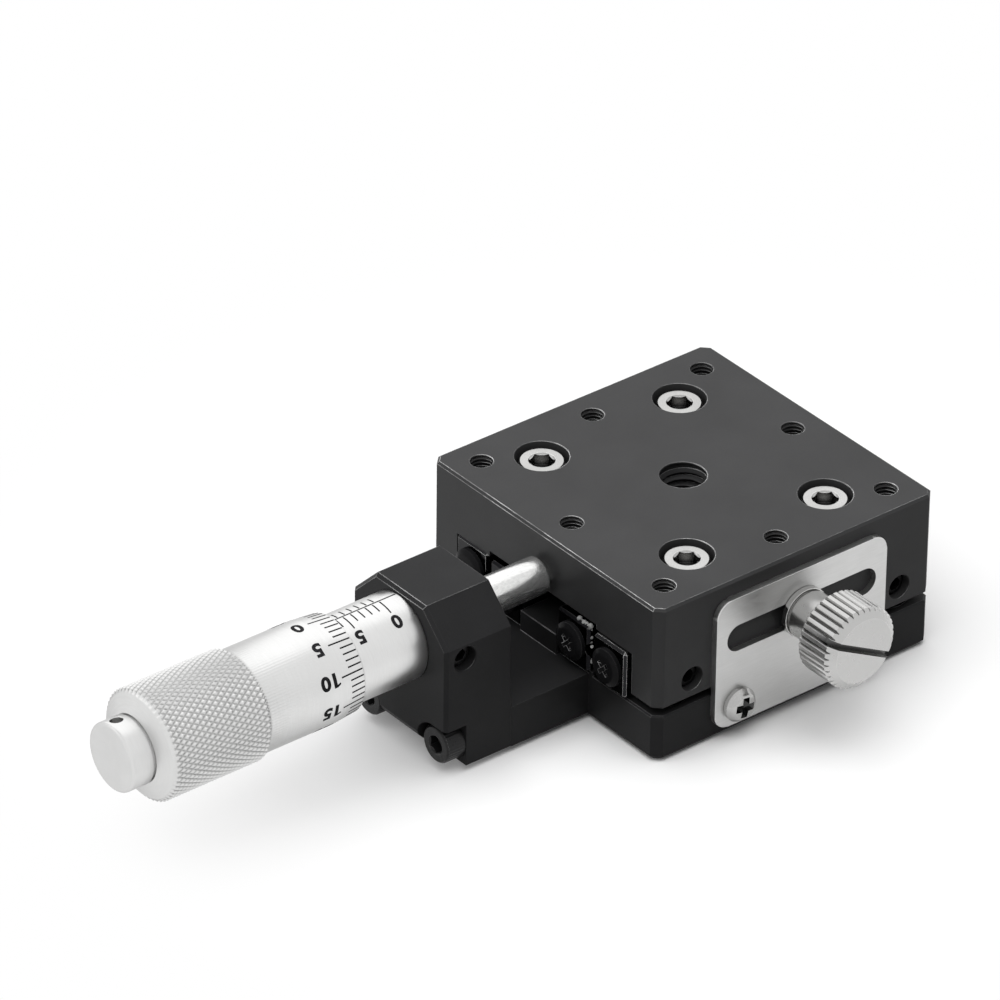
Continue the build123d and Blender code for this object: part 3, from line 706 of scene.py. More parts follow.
class Finish(Enum):
    """Every finish of the stage."""

    # The table's anodising, with a patchy painted highlight on edges that lean toward -X, +Y and
    # up.
    ANODISED = SurfaceFinish(
        "black_anodising", "black_anodised", (0.030, 0.030, 0.0305), (0.042, 0.042, 0.043),
        0.0, (0.34, 0.46), grain=14.0, grain_depth=0.005, edge=0.12,
        edge_colour=(0.9, 0.9, 0.9), edge_share=0.01, edge_lean=(-0.5, 0.4, 0.75),
        edge_metal=True, specular=0.14,
    )
    # Painted shade in recesses and in the knurl's grooves, and a patchy painted highlight on its
    # edges.
    CHROME = SurfaceFinish(
        "satin_chrome", "satin_chrome", (0.70, 0.70, 0.695), (0.755, 0.755, 0.75),
        1.0, (0.29, 0.35), grain=10.0, grain_depth=0.002, stretch=(1.0, 0.06, 0.06),
        edge=0.06, edge_colour=(0.85, 0.85, 0.85), edge_share=0.4, edge_tint=0.7,
        recess=0.75, recess_reach=0.3, groove=0.5,
    )
    STEEL = SurfaceFinish(
        "ground_steel", "ground_steel", (0.55, 0.55, 0.54), (0.70, 0.70, 0.69),
        1.0, (0.16, 0.30), grain=9.0, grain_depth=0.003, stretch=(1.0, 0.1, 0.1), edge=0.06,
    )
    # Darker than ground steel and darker still on its ends, as painted shade; its edges carry a
    # painted highlight.
    RAIL = SurfaceFinish(
        "hardened_rail", "", (0.10, 0.10, 0.10), (0.17, 0.17, 0.168), 1.0, (0.14, 0.28),
        grain=8.0, grain_depth=0.003, stretch=(0.1, 1.0, 1.0), edge=0.05,
        edge_colour=(0.95, 0.95, 0.94), edge_share=1.0, recess=0.6,
        end_colour=(0.018, 0.018, 0.019),
    )
    SPINDLE = SurfaceFinish(
        "polished_spindle", "ground_steel", (0.66, 0.66, 0.655), (0.84, 0.84, 0.83),
        0.88, (0.14, 0.26), grain=4.0, grain_depth=0.012, stretch=(0.5, 1.0, 1.0),
        specks=0.7, edge_colour=(0.08, 0.08, 0.08),
    )
    # A darker copy of the rail finish with dimmer edges: painted shade for the inner rails under
    # the table.
    INNER_RAIL = SurfaceFinish(
        "oiled_rail", "", (0.06, 0.06, 0.06), (0.11, 0.11, 0.108), 1.0, (0.12, 0.24),
        grain=8.0, grain_depth=0.003, stretch=(0.1, 1.0, 1.0), edge=0.07,
        edge_colour=(0.25, 0.25, 0.25), edge_share=0.3, recess=0.6,
        end_colour=(0.008, 0.008, 0.009),
    )
    ROLLER = SurfaceFinish(
        "roller_steel", "", (0.6, 0.6, 0.59), (0.72, 0.72, 0.71), 1.0, (0.1, 0.18),
        grain=6.0, grain_depth=0.001, edge=0.05,
    )
    CAGE = SurfaceFinish(
        "cage_strip", "", (0.42, 0.42, 0.41), (0.55, 0.55, 0.53), 1.0, (0.25, 0.4),
        grain=8.0, grain_depth=0.003, stretch=(0.1, 1.0, 1.0), edge=0.05,
    )
    # Painted shade in recesses and in the cross recesses, and a painted highlight on every edge.
    NICKEL = SurfaceFinish(
        "nickel_plate", "nickel_plated_steel", (0.40, 0.398, 0.392), (0.52, 0.517, 0.51),
        1.0, (0.12, 0.22), grain=9.0, grain_depth=0.002, edge=0.07,
        edge_colour=(0.95, 0.95, 0.94), edge_share=1.0, recess=0.95, recess_reach=1.2,
        groove=0.92,
    )
    # Painted shade in the flutes and on the slot's walls, and a patchy painted highlight on its
    # edges.
    KNOB = SurfaceFinish(
        "knob_plate", "nickel_plated_steel", (0.50, 0.498, 0.492), (0.515, 0.513, 0.507),
        1.0, (0.27, 0.29), grain=3.0, grain_depth=0.0001, edge=0.06,
        edge_colour=(0.95, 0.95, 0.95), edge_share=0.6, recess=0.4, recess_reach=0.25,
        groove=0.85,
    )
    # A patchy painted highlight on its edges.
    BLACK_STEEL = SurfaceFinish(
        "black_oxide", "black_oxide_steel", (0.009, 0.009, 0.0095), (0.02, 0.02, 0.0205),
        0.3, (0.26, 0.4), edge=0.06, edge_colour=(0.3, 0.3, 0.3), edge_share=0.5,
        specular=0.25,
    )
    # Nickel-plated screws painted near black as shade, with a painted highlight on their edges.
    STOP = SurfaceFinish(
        "stop_screw_black", "nickel_plated_steel", (0.008, 0.008, 0.0085),
        (0.014, 0.014, 0.015), 0.0, (0.16, 0.26), grain=8.0, grain_depth=0.003, edge=0.04,
        edge_colour=(0.9, 0.9, 0.9), edge_share=1.0, edge_metal=True, specular=0.04,
    )
    # A patchy painted highlight on its edges.
    SHEET = SurfaceFinish(
        "stainless_plate", "stainless_sheet", (0.54, 0.54, 0.535), (0.60, 0.60, 0.595),
        1.0, (0.34, 0.42), grain=7.0, grain_depth=0.003, stretch=(0.08, 1.0, 1.0),
        edge=0.06, edge_colour=(0.95, 0.95, 0.95), edge_share=0.8,
    )
    BRONZE = SurfaceFinish(
        "nut_bronze", "bronze", (0.50, 0.30, 0.13), (0.62, 0.40, 0.19), 1.0, (0.28, 0.4),
        grain=8.0, stretch=(1.0, 0.1, 0.1),
    )
    WIRE = SurfaceFinish(
        "spring_steel_wire", "spring_wire", (0.34, 0.34, 0.35), (0.48, 0.48, 0.49),
        1.0, (0.22, 0.34), grain=9.0, grain_depth=0.003,
    )
    # A darker copy of the table's anodising, painted shade for the base and bracket, with dimmer
    # painted edge highlights.
    ANODISED_PLAIN = replace(
        ANODISED, name="black_anodising_plain", colour=(0.017, 0.017, 0.0175),
        shade=(0.025, 0.025, 0.026), edge_colour=(0.3, 0.3, 0.305), specular=0.07,
    )
    # The bracket's copy, with brighter painted highlights on edges that lean toward the highlight
    # direction.
    ANODISED_BRACKET = replace(
        ANODISED_PLAIN, name="black_anodising_bracket", edge_colour=(0.7, 0.7, 0.7)
    )
    # Black oxide set screws, made darker still as painted shade deep in their holes.
    SUNK = replace(
        STOP, name="sunk_screw_black", slot="black_oxide_steel", colour=(0.004, 0.004, 0.004),
        shade=(0.008, 0.008, 0.008), edge_colour=(0.15, 0.15, 0.15), edge_share=0.3,
    )
    INK = InkFinish()
    GREASE = GreaseFinish()


@cache
def paint(finish: Finish) -> Material:
    """The material of a finish, built when it is first asked for."""
    return finish.value.build()


def finished(
    source: BMesh | Mesh, name: str, finish: Finish, smooth: float = SMOOTH_ANGLE
) -> Object:
    """A piece at the origin in metres, with smooth shading up to an angle.

    Args:
        source: the mesh in millimetres, freed if it is still being edited.
        name: the piece's name.
        finish: its finish.
        smooth: the angle between faces above which an edge stays sharp.

    Returns:
        The new object.
    """
    if isinstance(source, BMesh):
        bmesh.ops.remove_doubles(source, verts=source.verts, dist=WELD)
        bmesh.ops.dissolve_degenerate(source, edges=source.edges, dist=WELD)
    mesh = plain_mesh(source, name)
    mesh.transform(Matrix.Scale(MM, 4))
    mesh.polygons.foreach_set("use_smooth", [True] * len(mesh.polygons))
    mesh.set_sharp_from_angle(angle=smooth)
    mesh.materials.clear()
    mesh.materials.append(paint(finish))
    return shown(name, mesh)


def settle(
    source: BMesh | Mesh, name: str, finish: Finish, body: str, *nodes: str,
    smooth: float = SMOOTH_ANGLE,
) -> Object:
    """Finishes a piece and puts it on its body.

    Args:
        source: the mesh in millimetres.
        name: the piece's name.
        finish: its finish.
        body: the CAD body that carries it.
        nodes: the CAD nodes that it stands for.
        smooth: the angle between faces above which an edge stays sharp.

    Returns:
        The new piece.
    """
    piece = finished(source, name, finish, smooth)
    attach(piece, body)
    if nodes:
        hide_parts(*nodes)
    LOG.info("piece %s on %s, %d faces", name, body, len(piece.data.polygons))
    return piece


class Growth(Nodes):
    """A Geometry Nodes tree with named inputs that grows one plain mesh."""

    KINDS = {
        int: "NodeSocketInt", float: "NodeSocketFloat", tuple: "NodeSocketVector",
        Material: "NodeSocketMaterial", Object: "NodeSocketObject",
    }

    def __init__(
        self, name: str, finish: Finish, **inputs: int | float | Point | Object
    ) -> None:
        """Starts a tree.

        Args:
            name: the tree's name.
            finish: what the grown mesh gets.
            inputs: its named sizes and things, each with the value used here.
        """
        super().__init__(bpy.data.node_groups.new(name, "GeometryNodeTree"))
        face = self.tree.interface
        face.new_socket(name="Geometry", in_out="INPUT", socket_type="NodeSocketGeometry")
        self.values = {}
        for key, value in (inputs | {"Material": paint(finish)}).items():
            socket = face.new_socket(
                name=key, in_out="INPUT", socket_type=self.KINDS[type(value)]
            )
            self.values[socket.identifier] = value
        face.new_socket(name="Geometry", in_out="OUTPUT", socket_type="NodeSocketGeometry")
        self.source = self.node("NodeGroupInput").outputs

    def grow(self, geometry: NodeSocket, base: Mesh | None = None) -> Mesh:
        """Ends the tree and runs it once.

        Args:
            geometry: the last geometry of the tree, before its material.
            base: the mesh that the tree starts from, if it has one.

        Returns:
            The grown mesh, in millimetres.
        """
        real = self.out("GeometryNodeRealizeInstances", {"Geometry": geometry})
        painted = self.out(
            "GeometryNodeSetMaterial", {"Geometry": real, "Material": self.source["Material"]}
        )
        self.node("NodeGroupOutput", {0: painted})
        holder = shown("growth", base or bpy.data.meshes.new("growth"))
        modifier = holder.modifiers.new("grow", "NODES")
        modifier.node_group = self.tree
        for identifier, value in self.values.items():
            modifier[identifier] = value
        return melted(holder)


@dataclass
class Table:
    """The top block: its grid of tapped holes, its sunk screws and the channel below."""

    edge: float = 0.3
    bottom: float = 6.9
    top: float = 20.0
    rail_top: float = 12.4
    ceiling: float = 13.0
    channel_front: float = 15.6
    channel_rear: float = 15.2
    relief: float = 9.4
    tapped_r: float = 1.5
    tapped_depth: float = 5.0
    lip: float = 0.2
    tapped_mouth: float = 1.32
    centre_mouth: float = 2.68
    centre_r: float = 3.0
    screw_x: float = 10.0
    screw_y: float = 12.7
    sunk_r: float = 3.1
    sunk_floor: float = 16.5
    sunk_break: float = 0.05
    preload_x: float = 15.0
    stud_depth: float = 4.0
    over: float = 0.6

    def tapped(self, x: float, y: float, radius: float, mouth: float, floor: float) -> BMesh:
        """The space of a tapped hole in the top, as narrow as its thread's crests at the mouth."""
        return bore(Axis.Z, (x, y, 0), [
            (floor, radius), (self.top - 2 * self.lip, radius), (self.top - self.lip, mouth),
            (self.top - self.sunk_break, mouth), (self.top, mouth + self.sunk_break),
            (self.top + self.over, mouth + self.over),
        ])

    def sunk(self, x: float, y: float) -> BMesh:
        """The space of one screw and its head."""
        mouth = self.sunk_r + self.sunk_break
        return bore(Axis.Z, (x, y, 0), [
            (self.rail_top - self.over, PASS_R), (self.sunk_floor, PASS_R),
            (self.sunk_floor, self.sunk_r), (self.top - self.sunk_break, self.sunk_r),
            (self.top, mouth), (self.top + self.over, mouth + self.over),
        ], 96)

    def from_front(self, x: float, z: float, depth: float) -> BMesh:
        """The space of a tapped hole in the front side."""
        mouth = self.tapped_r + self.sunk_break
        return bore(Axis.Y, (x, 0, z), [
            (-HALF - self.over, mouth + self.over), (-HALF, mouth),
            (self.sunk_break - HALF, self.tapped_r), (depth - HALF, self.tapped_r),
        ])

    def build(self) -> None:
        """Makes the block and cuts it."""
        body = square_plate(self.bottom, self.top)
        bevel_where(body, self.edge, lambda a, b: abs(a.z - b.z) < WELD)
        under, outside = self.bottom - CLEAR, HALF + CLEAR
        body = boolean(body, [along_x([
            (-self.channel_front, under), (-self.channel_front, self.rail_top),
            (-self.relief, self.rail_top), (-self.relief, self.ceiling),
            (self.relief, self.ceiling), (self.relief, self.rail_top),
            (self.channel_rear, self.rail_top), (self.channel_rear, under),
        ], -outside, outside)])
        floor = self.top - self.tapped_depth
        depth = HALF - self.channel_front + self.over
        tools = [
            self.tapped(x, y, self.tapped_r, self.tapped_mouth, floor)
            for x, y in (*corners_of(GRID, GRID), (GRID, 0), (-GRID, 0), (0, GRID), (0, -GRID))
        ]
        tools += [self.tapped(0, 0, self.centre_r, self.centre_mouth, self.ceiling - self.over)]
        tools += [self.sunk(x, y) for x, y in corners_of(self.screw_x, self.screw_y)]
        tools += [
            self.from_front(x, GUIDE_Z, depth)
            for x in (-self.preload_x, 0.0, self.preload_x)
        ]
        tools += [self.from_front(0.0, CLAMP_Z, self.stud_depth)]
        settle(boolean(body, tools), "table_block", Finish.ANODISED, "slide_table", "table")


@dataclass
class Base:
    """The bottom plate with its rail seats, centre rib and tongue."""

    thickness: float = 6.0
    foot: float = 0.7
    edge: float = 0.2
    pad_half: float = 8.9
    pad_top: float = 6.4
    rib_half: float = 3.2
    rib_top: float = 8.6
    rib_over: float = 0.55
    rib_edge: float = 0.06
    tongue_end: float = -31.0
    tongue_half: float = 8.3
    tongue_under: float = 0.8
    sunk_r: float = 3.0
    fixing_floor: float = 2.7
    rail_screw_x: float = 10.0
    rail_screw_y: float = 5.7
    rail_floor: float = 3.4

    def build(self) -> None:
        """Makes the plate, adds what stands on it and cuts its holes."""
        middle, above = self.thickness / 2, self.thickness + CLEAR
        body = square_plate(0, self.thickness)
        bevel_where(body, self.foot, lambda a, b: a.z < WELD and b.z < WELD)
        bevel_where(body, self.edge, lambda a, b: min(a.z, b.z) > self.thickness - WELD)
        seats = along_x([
            (-self.pad_half, middle), (self.pad_half, middle), (self.pad_half, self.pad_top),
            (self.rib_half, self.pad_top), (self.rib_half, self.rib_top),
            (-self.rib_half, self.rib_top), (-self.rib_half, self.pad_top),
            (-self.pad_half, self.pad_top),
        ], -HALF, HALF)
        rib = block((-HALF - self.rib_over, -self.rib_half, middle),
                    (0, self.rib_half, self.rib_top))
        bevel_where(rib, self.rib_edge, lambda a, b: True)
        tongue = block((self.tongue_end, -self.tongue_half, self.tongue_under),
                       (0, self.tongue_half, self.thickness))
        for part in (seats, rib, tongue):
            body = boolean(body, [part], Cut.TOGETHER)
        tools = [
            bore(Axis.Z, (x, y, 0), [(-CLEAR, low), (floor, low), (floor, high), (above, high)])
            for places, floor, low, high in (
                (corners_of(GRID, GRID), self.fixing_floor, PASS_R, self.sunk_r),
                (corners_of(self.rail_screw_x, self.rail_screw_y), self.rail_floor, self.sunk_r,
                 PASS_R),
            )
            for x, y in places
        ]
        settle(boolean(body, tools), "base_block", Finish.ANODISED_PLAIN, "base", "base_plate")


@dataclass
class Bracket:
    """The upright block that holds the micrometer's stem."""

    face: float = -40.2
    back: float = -31.2
    seat: float = -31.0
    bottom: float = 0.9
    top: float = 20.8
    relief_start: float = 7.2
    relief_end: float = 7.9
    toe: float = 2.7
    half: float = 8.3
    shoulder: float = 4.0
    edge: float = 0.4
    fine_edge: float = 0.12
    screw_y: float = 6.0
    screw_z: float = 3.45
    pocket_r: float = 2.8
    pocket_floor: float = -37.3
    pocket_steps: int = 24
    stem_r: float = 4.22
    set_x: float = -37.5
    set_r: float = 1.5
    set_over: float = 0.6

    def pocket(self, sign: int) -> BMesh:
        """The space of one screw head, open to the side.

        Args:
            sign: 1 for the rear side, -1 for the front.

        Returns:
            The space.
        """
        turns = [pi * step / self.pocket_steps for step in range(self.pocket_steps + 1)]
        outside, radius = self.half + CLEAR, self.pocket_r
        outline = [
            (outside, self.screw_z + radius),
            *((self.screw_y - radius * sin(a), self.screw_z + radius * cos(a)) for a in turns),
            (outside, self.screw_z - radius),
        ]
        return along_x([(sign * y, z) for y, z in outline], self.face - CLEAR, self.pocket_floor)

    def build(self) -> None:
        """Makes the block from its side and end views and cuts it."""
        width, slope = self.half, self.shoulder
        side = prism([
            (self.seat, self.bottom), (self.seat, self.relief_start),
            (self.back, self.relief_end), (self.back, self.top), (self.face, self.top),
            (self.face, self.bottom + self.toe), (self.face + self.toe, self.bottom),
        ], Axis.Y, -width, width)
        end = along_x([
            (-width, 0), (width, 0), (width, self.top - slope), (width - slope, self.top),
            (slope - width, self.top), (-width, self.top - slope),
        ], self.face - CLEAR, self.seat + CLEAR)
        body = boolean(side, [end], Cut.COMMON)
        bmesh.ops.remove_doubles(body, verts=body.verts, dist=WELD)
        bmesh.ops.dissolve_limit(body, angle_limit=0.01, verts=body.verts, edges=body.edges)
        front = self.face + 100 * WELD
        bevel_where(body, self.edge, lambda a, b: a.x < front and b.x < front)
        body = boolean(body, [self.pocket(-1), self.pocket(1)])
        body = boolean(body, [bore(Axis.X, (0, 0, AXIS_Z), [
            (self.face - CLEAR, self.stem_r), (self.back + CLEAR, self.stem_r),
        ], 96)])
        mouth = self.set_r + self.fine_edge
        hole = bore(Axis.Y, (self.set_x, 0, AXIS_Z), [
            (-width - CLEAR, mouth + CLEAR), (-width, mouth),
            (self.fine_edge - width, self.set_r), (self.set_over - self.stem_r, self.set_r),
        ])
        settle(boolean(body, [hole]), "bracket_block", Finish.ANODISED_BRACKET, "base",
               "micrometer_bracket")


@dataclass(frozen=True)
class Lettering:
    """Plain figures wrapped on a cylinder about the micrometer's axis."""

    height: float
    capital: float = 0.72  # a figure's height as a share of the font's size
    stroke: float = 0.056
    widen: float = 1.1
    depth: float = 0.012
    step: float = 0.12
    flag: float = 0.26

    def flat(self, text: str) -> BMesh:
        """Draws a number flat, with a flag on a leading 1.

        Args:
            text: the digits.

        Returns:
            The flat shape, its middle at height 0, cut into bands that can bend.
        """
        curve = bpy.data.curves.new("figure", "FONT")
        curve.body = text
        curve.align_x = curve.align_y = "CENTER"
        curve.size = self.height / self.capital
        curve.offset = self.stroke * self.height
        curve.resolution_u = 4
        bm = joined([melted(shown("figure", curve))])
        bmesh.ops.remove_doubles(bm, verts=bm.verts, dist=10 * WELD)
        top = max(vert.co.y for vert in bm.verts)
        low = min(vert.co.y for vert in bm.verts)
        if text[0] == "1":
            side = min(vert.co.x for vert in bm.verts) + 0.01
            reach = self.flag * self.height
            bm.faces.new([bm.verts.new((side - x, top - y, 0)) for x, y in (
                (0, 0.01), (0, reach * 0.75), (reach, reach * 1.1), (reach, reach * 0.6),
            )])
        bmesh.ops.translate(bm, vec=(0, -(top + low) / 2, 0), verts=bm.verts)
        level = (low - top) / 2
        while level < (top - low) / 2:
            bmesh.ops.bisect_plane(
                bm, geom=bm.verts[:] + bm.edges[:] + bm.faces[:], plane_co=(0, level, 0),
                plane_no=(0, 1, 0), dist=WELD,
            )
            level += self.step
        return bm

    def figure(self, text: str, x: float, angle: float, radius: float) -> BMesh:
        """One number, upside down to the reader of the sleeve, laid on the cylinder.

        Args:
            text: the digits.
            x: middle of the number along the axis.
            angle: middle of the number from +Z toward -Y, in radians.
            radius: the cylinder's radius there.

        Returns:
            The raised figure.
        """
        bm = self.flat(text)
        under = bm.faces[:]
        bmesh.ops.recalc_face_normals(bm, faces=under)
        raised = set(bmesh.ops.extrude_face_region(bm, geom=under)["geom"])
        for vert in bm.verts:
            lift = self.depth if vert in raised else -self.depth
            along, turn = x - self.widen * vert.co.x, angle + vert.co.y / radius
            vert.co = Axis.X.place((0, 0, AXIS_Z), along, radius + lift, turn)
        bmesh.ops.recalc_face_normals(bm, faces=bm.faces)
        return bm


@dataclass(frozen=True)
class Scale:
    """Engraved lines on a cylinder about the micrometer's axis, grown by a node tree."""

    radius: float
    rim: float = 0.0  # where a bevelled cylinder has that radius
    slope: float = 0.0
    width: float = 0.17
    depth: float = 0.024
    bends: int = 9

    def lines(
        self, name: str, count: int, origin: Flat, step: Flat, anchor: Flat, short: Flat,
        long: Flat, every: int = 5,
    ) -> Mesh:
        """A row of lines laid out flat and then wrapped on the cylinder.

        Args:
            name: the tree's name.
            count: how many lines.
            origin: x and angle from +Z toward -Y of the first line.
            step: x and angle from one line to the next.
            anchor: where a line of size 1 has its middle from its place.
            short: a plain line's size along x and round the cylinder, in millimetres.
            long: the size of every so many-th line.
            every: how many lines from one long line to the next.

        Returns:
            The lines' mesh.
        """
        grown = Growth(
            name, Finish.INK, Count=count, Origin=(*origin, 0.0), Step=(*step, 0.0),
            Anchor=(*anchor, 0.0), Short=(short[0], short[1] / self.radius, self.depth),
            Long=(long[0], long[1] / self.radius, self.depth), Every=float(every),
            Radius=self.radius, Rim=self.rim, Slope=self.slope, Height=AXIS_Z,
        )
        source = grown.source
        points = grown.out("GeometryNodeMeshLine", {
            "Count": source["Count"], "Start Location": source["Origin"],
            "Offset": source["Step"],
        }, mode="OFFSET")
        order = grown.maths("MODULO", grown.out("GeometryNodeInputIndex"), source["Every"])
        size = grown.out("GeometryNodeSwitch", {
            "Switch": grown.maths("LESS_THAN", order, 0.5), "False": source["Short"],
            "True": source["Long"],
        }, input_type="VECTOR")
        cube = {"Size": (1.0, 1.0, 1.0), "Vertices Y": self.bends}
        bar = grown.out("GeometryNodeTransform", {
            "Geometry": grown.out("GeometryNodeMeshCube", cube), "Translation": source["Anchor"],
        })
        copies = grown.out(
            "GeometryNodeInstanceOnPoints", {"Points": points, "Instance": bar, "Scale": size}
        )
        real = grown.out("GeometryNodeRealizeInstances", {"Geometry": copies})
        x, angle, out = grown.split(grown.out("GeometryNodeInputPosition"))
        back = grown.maths("SUBTRACT", source["Rim"], x)
        radius = grown.maths("ADD", source["Radius"], grown.product(back, source["Slope"]))
        radius = grown.maths("ADD", radius, out)
        across = grown.product(grown.maths("SINE", angle), radius)
        up = grown.product(grown.maths("COSINE", angle), radius)
        spot = grown.vector(
            x, grown.product(across, -1.0), grown.maths("ADD", up, source["Height"])
        )
        return grown.grow(
            grown.out("GeometryNodeSetPosition", {"Geometry": real, "Position": spot})
        )


@dataclass
class Micrometer:
    """The micrometer head: sleeve, nut, spindle, thimble, cap, scales and figures."""

    bracket_face: float = -40.2
    stem_end: float = -31.2
    stem_r: float = 4.2
    sleeve_r: float = 5.2
    sleeve_end: float = -61.0
    spindle_r: float = 2.25
    spindle_bore_r: float = 2.3
    thread_bore_r: float = 3.15
    bore_shoulder: float = -43.0
    nut_r: float = 4.0
    nut_length: float = 5.0
    fit: float = 0.05
    thread_r: float = 3.0
    thread_front: float = -50.0
    thread_lead: float = 0.3
    thread_depth: float = 0.27
    thread_pitch: float = 0.5
    thread_flat: float = 0.06
    tip: float = -20.73
    wall: float = -69.5
    taper_end: float = -74.95
    taper_r: float = 2.4
    stud_r: float = 1.2
    stud_length: float = 5.2
    stud_hole: float = 5.7
    edge: float = -49.3
    edge_r: float = 5.8
    bevel: float = 3.3
    thimble_r: float = 6.1
    bore_r: float = 5.3
    knurl_start: float = -62.7
    knurl_end: float = -75.1
    knurl_r: float = 6.6
    knurl_step: float = 0.4
    knurl_depth: float = 0.24
    knurl_starts: int = 57
    knurl_pitch: float = 1.2
    knurl_rings: int = 112
    knurl_points: int = 8
    end: float = -76.3
    end_r: float = 6.05
    end_inner_r: float = 4.1
    cap_r: float = 4.05
    cap_end: float = -79.3
    cap_groove: float = 0.25
    spanner_r: float = 0.75
    spanner_depth: float = 1.5
    spanner_angle: float = -12.0
    zero_x: float = -42.8
    datum_angle: float = -4.3
    sleeve_ticks: int = 14
    divisions: int = 50
    round_steps: int = 128
    margin: float = 0.04
    knurl_fade: float = 3.0
    knurl_bed: float = 0.35
    stud_room: float = 0.3
    line_start: float = 0.25
    line_gap: float = 0.2
    figures_off: float = 3.5

    def sleeve(self) -> None:
        """Makes the sleeve with its stem and bores, and the nut in its end."""
        seat, nut_bore = self.sleeve_end + self.nut_length, self.nut_r + self.fit
        body = turned([
            (self.stem_end, self.spindle_bore_r, 0.05), (self.stem_end, self.stem_r, 0.3),
            (self.bracket_face, self.stem_r, 0), (self.bracket_face, self.sleeve_r, 0.12),
            (self.sleeve_end, self.sleeve_r, 0.3), (self.sleeve_end, nut_bore, 0),
            (seat, nut_bore, 0), (seat, self.thread_bore_r, 0),
            (self.bore_shoulder, self.thread_bore_r, 0),
            (self.bore_shoulder, self.spindle_bore_r, 0),
        ], Axis.X, AXIS_Z, self.round_steps, margin=self.margin)
        settle(body, "sleeve_body", Finish.CHROME, "base", "micrometer_sleeve")
        nut = turned([
            (seat, self.thread_r + self.fit, 0), (seat, self.nut_r, 0.1),
            (self.sleeve_end, self.nut_r, 0.1), (self.sleeve_end, self.thread_r + self.fit, 0.05),
        ], Axis.X, AXIS_Z, margin=self.margin)
        settle(nut, "spindle_nut_body", Finish.BRONZE, "base", "spindle_nut")

    def spindle(self) -> None:
        """Makes the spindle with its ground front, its thread and its taper."""
        hole, hole_end = self.stud_r + self.fit, self.end + self.stud_hole
        outline = soften([
            (hole_end, 0, 0), (self.tip, 0, 0), (self.tip, self.spindle_r, 0.2),
            (self.thread_front, self.spindle_r, 0),
        ], margin=self.margin) + [(self.thread_front, self.thread_r - self.thread_lead)]
        x = self.thread_front - self.thread_lead
        while x - self.thread_pitch > self.wall:
            outline += [
                (x, self.thread_r), (x - self.thread_flat, self.thread_r),
                (x - self.thread_pitch / 2, self.thread_r - self.thread_depth),
                (x - self.thread_pitch + self.thread_flat, self.thread_r),
            ]
            x -= self.thread_pitch
        outline += [
            (x, self.thread_r), (self.wall, self.thread_r), (self.taper_end, self.taper_r),
            (self.taper_end, hole), (hole_end, hole),
        ]
        body = lathe(outline, Axis.X, (0, 0, AXIS_Z))
        settle(body, "spindle_body", Finish.SPINDLE, "micrometer_thimble", "spindle")

    def knurled(self, mesh: Mesh) -> Mesh:
        """Presses the two families of knurl lines into the grip.

        Args:
            mesh: the thimble, with rings close together in the grip.

        Returns:
            The same shape with its diamonds.
        """
        grown = Growth(
            "knurl", Finish.CHROME, Starts=float(self.knurl_starts), Pitch=self.knurl_pitch,
            Depth=self.knurl_depth, Low=self.knurl_end - self.knurl_step,
            High=self.knurl_start + self.knurl_step, Fade=self.knurl_fade,
            Outer=self.knurl_r - self.knurl_bed, Height=AXIS_Z,
        )
        source = grown.source
        x, y, z = grown.split(grown.out("GeometryNodeInputPosition"))
        up = grown.maths("SUBTRACT", z, source["Height"])
        radius = grown.maths(
            "SQRT", grown.maths("ADD", grown.product(y, y), grown.product(up, up))
        )
        turn = grown.maths("DIVIDE", grown.maths("ARCTAN2", y, up), tau)
        round_way = grown.product(turn, source["Starts"])
        along = grown.maths("DIVIDE", x, source["Pitch"])
        ridges = []
        for operation in ("ADD", "SUBTRACT"):
            phase = grown.maths("FRACT", grown.maths(operation, along, round_way))
            ridge = grown.maths("ABSOLUTE", grown.maths("SUBTRACT", phase, 0.5))
            ridges.append(grown.product(ridge, 2.0))
        groove = grown.maths("MAXIMUM", *ridges)
        inside = grown.product(*(
            grown.product(grown.maths("SUBTRACT", x, source[limit]), source["Fade"])
            for limit in ("Low", "High")
        ))
        within = grown.out("ShaderNodeClamp", {"Value": grown.product(inside, -1.0)})
        pressed = grown.product(
            groove, within, grown.maths("GREATER_THAN", radius, source["Outer"])
        )
        cut = grown.product(pressed, source["Depth"])
        share = grown.maths("DIVIDE", grown.maths("SUBTRACT", radius, cut), radius)
        up = grown.maths("ADD", grown.product(up, share), source["Height"])
        shape = grown.out("GeometryNodeSetPosition", {
            "Geometry": source["Geometry"],
            "Position": grown.vector(x, grown.product(y, share), up),
        })
        # The grooves are stored as marks, where the chrome finish paints shade.
        return grown.grow(grown.out("GeometryNodeStoreNamedAttribute", {
            "Geometry": shape, "Name": "groove", "Value": pressed,
        }, data_type="FLOAT", domain="POINT"), mesh)

    def thimble(self) -> None:
        """Makes the thimble: bevelled edge, plain band, knurled grip and rear face."""
        stud_hole = self.stud_r + self.stud_room
        front = soften([
            (self.wall, self.bore_r, 0), (self.edge, self.bore_r, 0.04),
            (self.edge, self.edge_r, 0.1), (self.edge - self.bevel, self.thimble_r, 0.5),
            (self.knurl_start + self.knurl_step, self.thimble_r, 0),
        ])
        length = self.knurl_end - self.knurl_start
        grip = [
            (self.knurl_start + length * step / self.knurl_rings, self.knurl_r)
            for step in range(self.knurl_rings)
        ]
        rear = soften([
            (self.knurl_end, self.knurl_r, 0), (self.knurl_end - self.knurl_step, self.end_r, 0.1),
            (self.end, self.end_inner_r, 0.05), (self.end, stud_hole, 0),
            (self.taper_end, stud_hole, 0), (self.taper_end, self.taper_r + 0.02, 0),
            (self.wall, self.thread_r + 0.02, 0),
        ])
        segments = self.knurl_starts * self.knurl_points
        plain = plain_mesh(lathe(front + grip + rear, Axis.X, (0, 0, AXIS_Z), segments), "plain")
        settle(self.knurled(plain), "thimble_body", Finish.CHROME, "micrometer_thimble",
               "thimble", smooth=radians(40))

